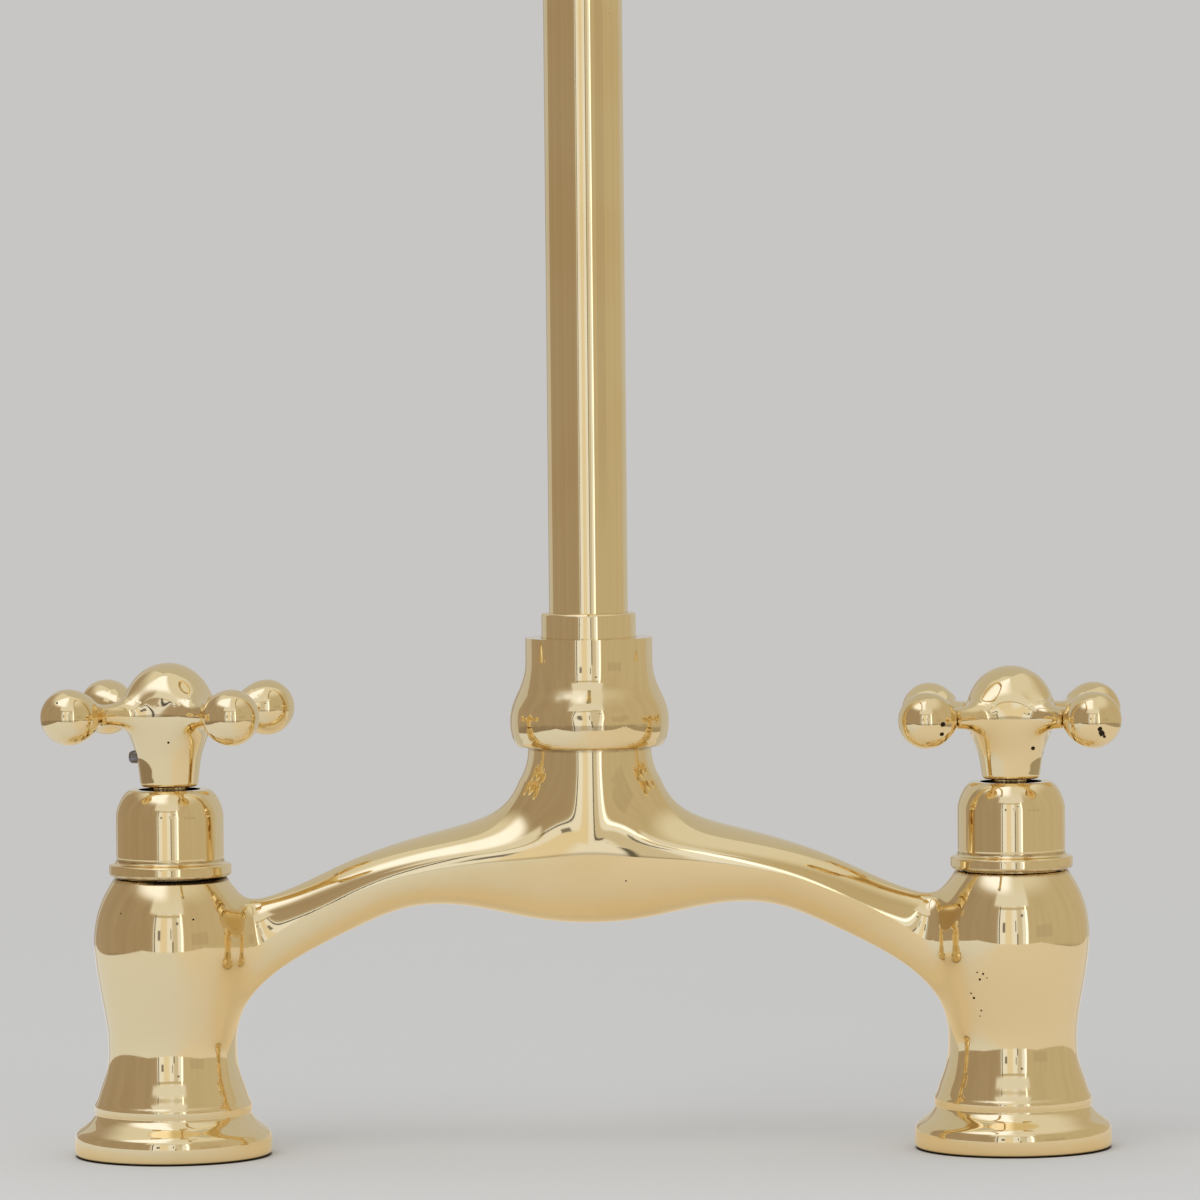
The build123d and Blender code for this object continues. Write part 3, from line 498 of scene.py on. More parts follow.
# ---------------------------------------------------------------- shapes as fields
class Smooth:
    """A cubic spline of one value over another, smooth to its second derivative."""

    def __init__(self, knots: Knots, start: float | None = None, end: float | None = None) -> None:
        """Solves the spline.

        Args:
            knots: pairs of place and value, in rising order.
            start: slope at the first knot; free if None.
            end: slope at the last knot; free if None.
        """
        self.x, self.y = (np.array(column, float) for column in zip(*knots))
        count, step = len(self.x), np.diff(self.x)
        rise = np.diff(self.y) / step
        rows, right = np.eye(count), np.zeros(count)
        for i in range(1, count - 1):
            rows[i, i - 1 : i + 2] = step[i - 1], 2 * (step[i - 1] + step[i]), step[i]
            right[i] = 6 * (rise[i] - rise[i - 1])
        if start is not None:
            rows[0, :2], right[0] = (2 * step[0], step[0]), 6 * (rise[0] - start)
        if end is not None:
            rows[-1, -2:], right[-1] = (step[-1], 2 * step[-1]), 6 * (end - rise[-1])
        self.bend = np.linalg.solve(rows, right)
        self.step, self.rise = step, rise

    def at(self, places: np.ndarray) -> tuple[np.ndarray, np.ndarray]:
        """Value and slope at each place; outside the knots the end's value holds."""
        places = np.clip(places, self.x[0], self.x[-1])
        i = np.clip(np.searchsorted(self.x, places) - 1, 0, len(self.step) - 1)
        t, h, b0, b1 = places - self.x[i], self.step[i], self.bend[i], self.bend[i + 1]
        slope0 = self.rise[i] - h * (2 * b0 + b1) / 6
        curve = (b1 - b0) / (6 * h)
        value = self.y[i] + t * (slope0 + t * (b0 / 2 + t * curve))
        return value, slope0 + t * (b0 + 3 * t * curve)


def joined(first: np.ndarray, second: np.ndarray, reach: float) -> np.ndarray:
    """Union of two fields, with a soft fillet that spreads over this reach."""
    near = np.maximum(reach - np.abs(first - second), 0.0) / reach
    return np.minimum(first, second) - near**3 * reach / 6


def cut(first: np.ndarray, second: np.ndarray, reach: float) -> np.ndarray:
    """What two fields have in common, with a softly rounded edge."""
    return -joined(-first, -second, reach)


def turned(profile: Smooth, radius: np.ndarray, height: np.ndarray) -> np.ndarray:
    """Distance to a body of revolution whose radius follows its height."""
    wall, slope = profile.at(height)
    return (radius - wall) / np.sqrt(1 + slope**2)


def gradient(field: Field, points: np.ndarray, step: float = 0.01) -> np.ndarray:
    """Slope of a field at each point, by differences over a small step."""
    slopes = np.empty_like(points)
    for axis in range(3):
        move = np.zeros(3)
        move[axis] = step
        slopes[:, axis] = (field(points + move) - field(points - move)) / (2 * step)
    return slopes


def skin(field: Field, levels: Sequence[np.ndarray]) -> tuple[np.ndarray, np.ndarray]:
    """Surface of a field as quads, one point in each grid cell that it crosses.

    Args:
        field: signed distances, negative inside.
        levels: the grid's places along X, Y and Z.

    Returns:
        Points on the surface and the quads between them.
    """
    shape = tuple(len(axis) for axis in levels)
    values = np.empty(shape, np.float32)
    plane = np.stack(np.meshgrid(levels[1], levels[2], indexing="ij"), -1).reshape(-1, 2)
    for i, x in enumerate(levels[0]):
        points = np.column_stack([np.full(len(plane), x), plane])
        values[i] = field(points).reshape(shape[1:])
    inside = values < 0
    quads, crossings = [], []
    for axis in range(3):
        low = np.take(inside, range(shape[axis] - 1), axis)
        high = np.take(inside, range(1, shape[axis]), axis)
        edge = np.argwhere(low != high)
        after = edge.copy()
        after[:, axis] += 1
        v0, v1 = values[tuple(edge.T)], values[tuple(after.T)]
        place = np.column_stack([levels[k][edge[:, k]] for k in range(3)]).astype(float)
        width = levels[axis][after[:, axis]] - levels[axis][edge[:, axis]]
        place[:, axis] += width * v0 / (v0 - v1)
        around = []
        for back in ((0, 0), (1, 0), (1, 1), (0, 1)):
            cell = edge.copy()
            cell[:, (axis + 1) % 3] -= back[0]
            cell[:, (axis + 2) % 3] -= back[1]
            around.append(np.ravel_multi_index(cell.T, shape))
        ring = np.column_stack(around)
        leaving = v0 < 0
        ring[~leaving] = ring[~leaving][:, ::-1]
        quads.append(ring)
        crossings.append(place)
    ring, place = np.concatenate(quads), np.concatenate(crossings)
    cells, index = np.unique(ring, return_inverse=True)
    index = index.reshape(ring.shape)
    total = np.bincount(index.ravel(), minlength=len(cells))
    repeated = np.repeat(place, 4, 0)
    sums = [np.bincount(index.ravel(), repeated[:, k], len(cells)) for k in range(3)]
    points = np.column_stack(sums) / total[:, None]
    for _ in range(5):
        slopes = gradient(field, points)
        points -= slopes * (field(points) / (slopes**2).sum(1))[:, None]
    return points, index


def steps(low: float, high: float, size: float) -> np.ndarray:
    """Evenly spaced places that cover a range."""
    return np.linspace(low, high, int((high - low) / size) + 2)


# ---------------------------------------------------------------- meshes
def linked(name: str, mesh: bpy.types.Mesh) -> bpy.types.Object:
    """Puts a mesh into the scene as an object."""
    made = bpy.data.objects.new(name, mesh)
    bpy.context.scene.collection.objects.link(made)
    return made


def closed(name: str, made: bmesh.types.BMesh) -> bpy.types.Object:
    """Turns a closed shell's faces outwards and puts it into the scene."""
    bmesh.ops.recalc_face_normals(made, faces=made.faces)
    mesh = bpy.data.meshes.new(name)
    made.to_mesh(mesh)
    made.free()
    return linked(name, mesh)


def mesh_object(name: str, points: Any, faces: Any) -> bpy.types.Object:
    """Makes an object from points in millimetres.

    Args:
        name: the piece's name.
        points: its vertices.
        faces: its faces, as vertex numbers.

    Returns:
        The object, smooth shaded, in the scene.
    """
    mesh = bpy.data.meshes.new(name)
    mesh.from_pydata((np.asarray(points, float) * MM).tolist(), [], np.asarray(faces).tolist())
    mesh.shade_smooth()
    return linked(name, mesh)


def baked(piece: bpy.types.Object) -> bpy.types.Object:
    """Turns a piece with modifiers into a plain mesh of its own."""
    graph = bpy.context.evaluated_depsgraph_get()
    mesh = bpy.data.meshes.new_from_object(piece.evaluated_get(graph))
    piece.modifiers.clear()
    piece.data = mesh
    return piece


def lathe(name: str, outline: Knots, centre: tuple[float, float], count: int) -> bpy.types.Object:
    """Turns a closed outline about an upright axis.

    Args:
        name: the object's name.
        outline: radius and height of its corners; one ring with radius 0 is one point.
        centre: where the axis stands in X and Y.
        count: number of steps around.

    Returns:
        The turned solid.
    """
    made = bmesh.new()
    rings = []
    for radius, height in outline:
        places = 1 if radius == 0 else count
        ring = []
        for k in range(places):
            angle = 2 * math.pi * k / count
            x = centre[0] + radius * math.cos(angle)
            y = centre[1] + radius * math.sin(angle)
            ring.append(made.verts.new((x * MM, y * MM, height * MM)))
        rings.append(ring)
    for ring, after in zip(rings, rings[1:] + rings[:1]):
        if len(ring) == len(after) == 1:
            continue
        for k in range(count):
            corners = [ring[k % len(ring)], after[k % len(after)]]
            corners += [after[(k + 1) % len(after)], ring[(k + 1) % len(ring)]]
            made.faces.new(list(dict.fromkeys(corners)))
    return closed(name, made)


def carve(piece: bpy.types.Object, cutters: Sequence[bpy.types.Object]) -> bpy.types.Object:
    """Cuts solids out of a piece and removes them."""
    for cutter in cutters:
        modifier = piece.modifiers.new(cutter.name, "BOOLEAN")
        modifier.operation = "DIFFERENCE"
        modifier.solver = "MANIFOLD"
        modifier.object = cutter
        baked(piece)
        bpy.data.objects.remove(cutter)
    return piece


def true_normals(piece: bpy.types.Object, field: Field) -> None:
    """Gives a skin the exact normals of its field, and keeps cut edges sharp."""
    mesh = piece.data
    mesh.set_sharp_from_angle(angle=math.radians(35))
    points = np.empty(len(mesh.vertices) * 3, np.float32)
    mesh.vertices.foreach_get("co", points)
    points = points.reshape(-1, 3).astype(float) / MM
    slopes = gradient(field, points)
    slopes /= np.linalg.norm(slopes, axis=1)[:, None]
    on_skin = np.abs(field(points)) < 0.02
    corners = np.empty(len(mesh.loops) * 3, np.float32)
    mesh.corner_normals.foreach_get("vector", corners)
    corners = corners.reshape(-1, 3)
    vertex = np.empty(len(mesh.loops), np.int32)
    mesh.loops.foreach_get("vertex_index", vertex)
    agree = (corners * slopes[vertex]).sum(1) > 0.8
    exact = on_skin[vertex] & agree
    corners[exact] = slopes[vertex][exact]
    mesh.normals_split_custom_set(corners.tolist())


def finished(
    piece: bpy.types.Object, finish: Finish, body: str, slot: str, *nodes: str
) -> bpy.types.Object:
    """Dresses a piece and sets it on its body.

    Args:
        piece: the finished mesh.
        finish: its finish.
        body: the CAD body that it rides on.
        slot: the name of its material slot; not used.
        *nodes: the CAD nodes that it stands for.

    Returns:
        The piece.
    """
    piece.data.materials.clear()
    piece.data.materials.append(finish.material())
    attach(piece, body)
    if nodes:
        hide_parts(*nodes)
    LOG.info("%s: %d faces on %s", piece.name, len(piece.data.polygons), body)
    return piece


# ---------------------------------------------------------------- bridge casting
@dataclass
class BridgeCasting:
    """The one-piece casting: two pillars, the arched bridge, its hub and the neck."""

    height: float = 67.3
    neck_r: float = 14.9
    neck_top: float = 99.6
    thread_r: float = 13.9
    mouth: float = 113.6
    thread_middle: float = 100.0
    arm_end: float = 96.0
    grid: float = 0.74
    foot_grid: float = 0.39
    foot_height: float = 15.0
    pillar: Knots = (
        (0.0, 23.75), (4.2, 23.75), (5.3, 23.55), (6.2, 23.0), (7.0, 22.05), (7.8, 20.95),
        (8.6, 20.0), (9.5, 19.25), (10.3, 18.85), (10.9, 18.98), (11.7, 19.06), (12.5, 18.98),
        (13.1, 18.66), (13.8, 18.36), (16.0, 17.62), (19.0, 16.55), (22.0, 15.8), (25.5, 15.52),
        (29.5, 15.64), (35.0, 16.42), (41.0, 17.5), (47.0, 18.4), (51.5, 18.68), (56.0, 18.33),
        (60.0, 17.35), (64.0, 15.6), (67.3, 13.6),
    )
    bridge_top: Knots = (
        (0.0, 84.0), (15.0, 81.0), (30.0, 79.0), (45.0, 75.6), (60.0, 70.1), (73.0, 64.2),
        (84.0, 60.6), (96.0, 57.0),
    )
    bridge_bottom: Knots = (
        (0.0, 55.4), (12.0, 56.3), (25.0, 58.9), (35.0, 60.2), (45.0, 59.3), (55.0, 55.6),
        (65.0, 50.8), (75.0, 45.0), (84.0, 38.2), (96.0, 31.0),
    )
    bridge_line: Knots = (
        (0.0, 74.4), (12.0, 73.3), (20.0, 72.4), (30.0, 71.1), (40.0, 69.3), (50.0, 66.7),
        (60.0, 62.8), (73.0, 56.2), (84.0, 49.0), (96.0, 42.0),
    )
    bridge_depth: Knots = (
        (0.0, 14.9), (12.0, 14.5), (30.0, 12.7), (45.0, 10.7), (60.0, 8.3), (70.0, 6.5),
        (80.0, 5.4), (90.0, 5.2), (96.0, 5.2),
    )
    flare: tuple[float, float] = (30.0, 16.0)
    flare_from: float = 90.0
    foot_round: float = 2.4
    top_round: float = 0.5
    arm_round: float = 2.0
    neck_round: float = 0.4
    pillar_blend: float = 9.0
    grid_edge: float = 24.7
    chamber: Knots = (
        (0, -1), (9.32, -1), (9.32, 14), (6.6, 14), (6.6, 40), (9.32, 40), (9.32, 43), (10.8, 43),
        (10.8, 55.1), (9.32, 55.1), (9.32, 65.7), (11.02, 65.7), (11.02, 69), (0, 69),
    )
    seal_groove: Knots = ((15.5, -1), (20.5, -1), (20.5, 1.3), (15.5, 1.3))
    hub_bore: Knots = ((0, 62), (8, 62), (8, 99), (10.4, 99), (10.4, 115), (0, 115))

    def __post_init__(self) -> None:
        """Solves the splines that the field uses."""
        self.wall = Smooth(self.pillar, start=0.0)
        self.top = Smooth(self.bridge_top, start=0.0)
        self.bottom = Smooth(self.bridge_bottom, start=0.0)
        self.line = Smooth(self.bridge_line, start=0.0)
        self.depth = Smooth(self.bridge_depth, start=0.0)

    def hub(self, across: np.ndarray, y: np.ndarray, z: np.ndarray) -> np.ndarray:
        """Distance to the neck and the arms, whose front lines meet in a T.

        Args:
            across: distance from the neck's axis along X.
            y: depth from the middle.
            z: height.

        Returns:
            Signed distances, negative inside.
        """
        (top, rise), (bottom, fall) = self.top.at(across), self.bottom.at(across)
        line, lean = self.line.at(across)
        over = z - line
        above = np.maximum(over, 0.0)
        reach = self.flare[0] + (self.flare[1] - self.flare[0]) * np.clip(
            (z - self.flare_from) / (self.neck_top - self.flare_from), 0.0, 1.0
        )
        flared = joined(across - self.neck_r, (z - top) / np.hypot(1.0, rise), reach)
        to_rim = np.where(over > 0, -flared, (z - bottom) / np.hypot(1.0, fall))
        corner = np.cbrt(across**3 + above**3) + 1e-9
        ridge = np.where(over > 0, across / corner, 1.0) * np.abs(over) / np.hypot(1.0, lean)
        width = np.maximum(ridge + to_rim, 0.3 * ridge) + 1e-9
        depth = self.depth.at(across**2 / (corner + 1.0))[0]
        share = np.hypot(y / depth, ridge / width) + 1e-9
        steep = np.hypot(y / depth**2, ridge / width**2) + 1e-9
        body = (share - 1) * share / steep
        body = cut(body, across - self.arm_end, self.arm_round)
        return cut(body, z - self.neck_top, self.neck_round)

    def field(self, points: np.ndarray) -> np.ndarray:
        """Distance to the casting's outside.

        Args:
            points: places in millimetres.

        Returns:
            Signed distances, negative inside.
        """
        x, y, z = points.T
        across = np.abs(x)
        pillar = turned(self.wall, np.hypot(across - HALF_SPAN, y), z)
        pillar = cut(cut(pillar, z - self.height, self.top_round), -z, self.foot_round)
        ends = np.abs(z - self.thread_middle) - self.mouth + self.thread_middle
        thread = np.maximum(np.hypot(x, y) - self.thread_r, ends)
        return np.minimum(joined(pillar, self.hub(across, y, z), self.pillar_blend), thread)

    def bores(self) -> list[bpy.types.Object]:
        """Solids for the casting's machined bores and its waterway."""
        made = [lathe("hub_bore", self.hub_bore, (0, 0), 72)]
        for side in Side:
            made.append(lathe(f"bore_{side.tag}", self.chamber, (side.axis_x, 0), 72))
            made.append(lathe(f"groove_{side.tag}", self.seal_groove, (side.axis_x, 0), 96))
        return made

    def build(self) -> bpy.types.Object:
        """Makes the casting's mesh.

        Returns:
            The dressed piece.
        """
        low, high = steps(-0.8, self.foot_height, self.foot_grid), self.mouth + 1
        levels = [
            steps(-HALF_SPAN - self.grid_edge, HALF_SPAN + self.grid_edge, self.grid),
            steps(-self.grid_edge, self.grid_edge, self.grid),
            np.concatenate([low, steps(low[-1] + self.grid, high, self.grid)]),
        ]
        points, faces = skin(self.field, levels)
        piece = mesh_object("bridge_body", points, faces)
        carve(piece, self.bores())
        true_normals(piece, self.field)
        return finished(piece, CASTING_BRASS, "root", "polished_brass", "bridge_casting")


# ---------------------------------------------------------------- cross handles
@dataclass
class CrossHandle:
    """A cast cross handle with four ball-ended arms."""

    side: Side
    dome_rise: float
    first_arm: float
    grub_angle: float
    pinholes: Spots
    bottom: float = 89.3
    arm_drop: float = 1.8
    dome_r: float = 10.2
    reach: float = 28.2
    grid: float = 0.42
    stem: Knots = (
        (0.0, 7.0), (0.17, 7.3), (0.353, 7.8), (0.524, 8.6), (0.70, 9.45), (0.86, 10.0),
        (1.0, 10.2),
    )
    arm: Knots = (
        (0.0, 5.4), (5.0, 4.8), (9.0, 4.1), (13.0, 3.1), (17.2, 2.6), (20.6, 3.0), (22.9, 4.1),
    )
    knob_r: float = 6.7
    knob_blend: float = 4.0
    hub_blend: float = 7.5
    stem_round: float = 1.6
    socket_r: float = 3.8
    socket_ends: tuple[float, float] = (88.0, 99.7)
    screw_rise: float = 7.1
    screw_hole: tuple[float, float] = (1.8, 14.0)

    def __post_init__(self) -> None:
        """Solves the splines that the field uses."""
        stem = [(share * self.dome_rise, radius) for share, radius in self.stem]
        self.stem_wall = Smooth(stem, start=0.02, end=0.0)
        self.dome_centre = self.bottom + self.dome_rise
        self.arm_axis = self.dome_centre - self.arm_drop
        self.arm_wall = Smooth(self.arm)

    def field(self, points: np.ndarray) -> np.ndarray:
        """Distance to the handle's outside.

        Args:
            points: places in millimetres, from the handle's own axis.

        Returns:
            Signed distances, negative inside.
        """
        x, y, z = points.T
        radius = np.hypot(x, y)
        stem = turned(self.stem_wall, radius, z - self.bottom)
        stem = cut(cut(stem, self.bottom - z, self.stem_round), z - self.dome_centre, 0.1)
        dome = np.sqrt(radius**2 + (z - self.dome_centre) ** 2) - self.dome_r
        dome = np.maximum(dome, self.dome_centre - 4.0 - z)
        body = np.minimum(stem, dome)
        rise = z - self.arm_axis
        for k in range(4):
            angle = math.radians(self.first_arm + 90 * k)
            along = x * math.cos(angle) + y * math.sin(angle)
            aside = y * math.cos(angle) - x * math.sin(angle)
            around = np.hypot(aside, rise)
            arm = turned(self.arm_wall, around, along)
            arm = cut(cut(arm, along - self.reach, 1.0), -along, 1.0)
            knob = np.sqrt(around**2 + (along - self.reach) ** 2) - self.knob_r
            body = joined(body, joined(arm, knob, self.knob_blend), self.hub_blend)
        return body

    def build(self) -> bpy.types.Object:
        """Makes the handle's mesh.

        Returns:
            The dressed piece.
        """
        edge = self.reach + self.knob_r + 1.0
        plan = steps(-edge, edge, self.grid)
        levels = [plan, plan, steps(self.bottom - 1.0, self.dome_centre + 11.2, self.grid)]
        points, faces = skin(self.field, levels)
        move = np.array([self.side.axis_x, 0.0, 0.0])
        name = f"cross_handle_{self.side.tag}"
        piece = mesh_object(name, points + move, faces)
        carve(piece, [self.socket(), self.grub_hole()])
        true_normals(piece, lambda points: self.field(points - move))
        holes = tuple((x + self.side.axis_x, z, radius) for x, z, radius in self.pinholes)
        finish = Brass(
            f"brass_handle_{self.side.tag}", BRASS, 0.05, ripple_size=7.0, ripple=0.008,
            axis_x=self.side.axis_x, seams=((self.bottom, 0.6, 0.0),), pinholes=holes,
        )
        return finished(piece, finish, self.side.body, "polished_brass", self.side.body)

    def socket(self) -> bpy.types.Object:
        """Solid for the socket that the spindle sits in."""
        (low, top), radius = self.socket_ends, self.socket_r
        outline = ((0, low), (radius, low), (radius, top), (0, top))
        return lathe("socket", outline, (self.side.axis_x, 0), 40)

    def grub_hole(self) -> bpy.types.Object:
        """Solid for the tapped hole of the grub screw."""
        radius, depth = self.screw_hole
        made = lathe("grub_hole", ((0, 0), (radius, 0), (radius, depth), (0, depth)), (0, 0), 32)
        turn = Euler((0, math.pi / 2, math.radians(self.grub_angle))).to_matrix().to_4x4()
        made.data.transform(turn)
        move = Vector((self.side.axis_x, 0.0, self.bottom + self.screw_rise)) * MM
        made.data.transform(turn.Translation(move))
        return made


# ---------------------------------------------------------------- grub screws
@dataclass
class GrubScrew:
    """A socket grub screw, with its thread made by Geometry Nodes."""

    handle: CrossHandle
    inner_end: float
    radius: float = 1.75
    length: float = 4.0
    pitch: float = 0.7
    thread: float = 0.34
    point: float = 0.35
    rim: float = 0.25
    rim_length: float = 0.4
    thread_start: float = 0.45
    thread_sunk: float = 0.06
    key_r: float = 0.92
    key_depth: float = 1.8
    around: int = 24

    def core(self) -> bpy.types.Object:
        """Core with its end chamfer and hexagon socket, lying along +Z."""
        made = bmesh.new()
        root = self.radius - self.thread
        rings = [(0.0, root - self.point), (self.point, root)]
        rings += [(self.length - self.rim_length, root), (self.length, root - self.rim)]
        key = [(self.length, self.key_r), (self.length - self.key_depth, self.key_r)]
        loops = []
        for number, (height, radius) in enumerate(rings + key):
            loop = []
            for k in range(self.around):
                angle = 2 * math.pi * k / self.around
                reach = radius
                if number >= len(rings):
                    reach = radius / math.cos((angle + math.pi / 6) % (math.pi / 3) - math.pi / 6)
                place = (reach * math.cos(angle), reach * math.sin(angle), height)
                loop.append(made.verts.new(Vector(place) * MM))
            loops.append(loop)
        for loop, after in zip(loops, loops[1:]):
            for k in range(self.around):
                made.faces.new((loop[k], loop[k - 1], after[k - 1], after[k]))
        made.faces.new(loops[0])
        made.faces.new(reversed(loops[-1]))
        return closed(f"grub_{self.handle.side.tag}", made)

    def build(self) -> bpy.types.Object:
        """Makes the screw, lays it in the handle and dresses it.

        Returns:
            The dressed piece.
        """
        piece = self.core()
        sizes = {
            "Root radius": (self.radius - self.thread - self.thread_sunk) * MM,
            "Pitch": self.pitch * MM,
            "Turns": (self.length - 2 * self.thread_start) / self.pitch,
            "Depth": self.thread * MM,
            "Start": self.thread_start * MM,
        }
        run_nodes(piece, thread_nodes(GRUB_STEEL.material()), sizes)
        mesh, side = piece.data, self.handle.side
        turn = Euler((0, math.pi / 2, 0)).to_matrix().to_4x4()
        mesh.transform(turn.Translation(Vector((self.inner_end * MM, 0, 0))) @ turn)
        mesh.transform(Euler((0, 0, math.radians(self.handle.grub_angle))).to_matrix().to_4x4())
        centre = Vector((side.axis_x, 0, self.handle.bottom + self.handle.screw_rise)) * MM
        mesh.transform(turn.Translation(centre))
        mesh.set_sharp_from_angle(angle=math.radians(30))
        return finished(piece, GRUB_STEEL, side.body, "grub_steel", f"grub_screw_{side.tag}")


def new_group(name: str, sizes: Sequence[str]) -> tuple[bpy.types.NodeTree, Graph, dict]:
    """Starts a Geometry Nodes group.

    Args:
        name: the group's name.
        sizes: names of its number inputs.

    Returns:
        The tree, its graph, and each input by name, the mesh as "Geometry".
    """
    tree = bpy.data.node_groups.new(name, "GeometryNodeTree")
    tree.interface.new_socket("Geometry", in_out="INPUT", socket_type="NodeSocketGeometry")
    tree.interface.new_socket("Geometry", in_out="OUTPUT", socket_type="NodeSocketGeometry")
    for size in sizes:
        tree.interface.new_socket(size, in_out="INPUT", socket_type="NodeSocketFloat")
    graph = Graph(tree)
    entry = graph.node("NodeGroupInput")
    inputs = {size: graph.number(entry, size) for size in sizes}
    inputs["Geometry"] = entry.outputs["Geometry"]
    return tree, graph, inputs


def close_group(graph: Graph, geometry: Any, material: bpy.types.Material) -> None:
    """Ends a group in Realize Instances and Set Material."""
    real = graph.node("GeometryNodeRealizeInstances", {}, {0: geometry})
    painted = graph.node("GeometryNodeSetMaterial", {}, {0: real, "Material": material})
    graph.node("NodeGroupOutput", {}, {0: painted})


def run_nodes(piece: bpy.types.Object, tree: bpy.types.NodeTree, sizes: dict[str, float]) -> None:
    """Runs a group on a piece and leaves a plain mesh.

    Args:
        piece: the object.
        tree: the Geometry Nodes group.
        sizes: its inputs' values, by name.
    """
    modifier = piece.modifiers.new(tree.name, "NODES")
    modifier.node_group = tree
    for item in tree.interface.items_tree:
        if item.in_out == "INPUT" and item.name in sizes:
            modifier[item.identifier] = sizes[item.name]
    baked(piece)


def stored(
    graph: Graph, geometry: Any, name: str, value: Any, kind: str = "FLOAT_VECTOR"
) -> bpy.types.Node:
    """Keeps a value of each point under a name."""
    settings = {"data_type": kind, "domain": "POINT"}
    sockets = {0: geometry, "Name": name, "Value": value}
    return graph.node("GeometryNodeStoreNamedAttribute", settings, sockets)


def recalled(graph: Graph, name: str, kind: str = "FLOAT_VECTOR") -> bpy.types.Node:
    """Reads a value that was kept under a name."""
    return graph.node("GeometryNodeInputNamedAttribute", {"data_type": kind}, {"Name": name})


def thread_nodes(material: bpy.types.Material) -> bpy.types.NodeTree:
    """Group that winds a screw thread round a core along +Z."""
    known = bpy.data.node_groups.get("screw_thread")
    if known:
        return known
    names = ("Root radius", "Pitch", "Turns", "Depth", "Start")
    tree, graph, size = new_group("screw_thread", names)
    sockets = {
        "Resolution": 40,
        "Rotations": size["Turns"],
        "Start Radius": size["Root radius"],
        "End Radius": size["Root radius"],
        "Height": size["Turns"] * size["Pitch"],
    }
    spiral = graph.node("GeometryNodeCurveSpiral", {}, sockets)
    lift = graph.combined(0.0, 0.0, size["Start"])
    placed = graph.node("GeometryNodeTransform", {}, {0: spiral, "Translation": lift})
    upright = graph.node("GeometryNodeSetCurveNormal", {"mode": "Z_UP"}, {0: placed})
    sockets = {"Resolution": 3, "Radius": size["Depth"] * 1.15}
    ridge = graph.node("GeometryNodeCurvePrimitiveCircle", {}, sockets)
    sockets = {0: upright, 1: ridge, "Fill Caps": True}
    wound = graph.node("GeometryNodeCurveToMesh", {}, sockets)
    both = graph.node("GeometryNodeJoinGeometry")
    for part in (wound, size["Geometry"]):
        graph.feed(both.inputs[0], part)
    close_group(graph, both, material)
    return tree


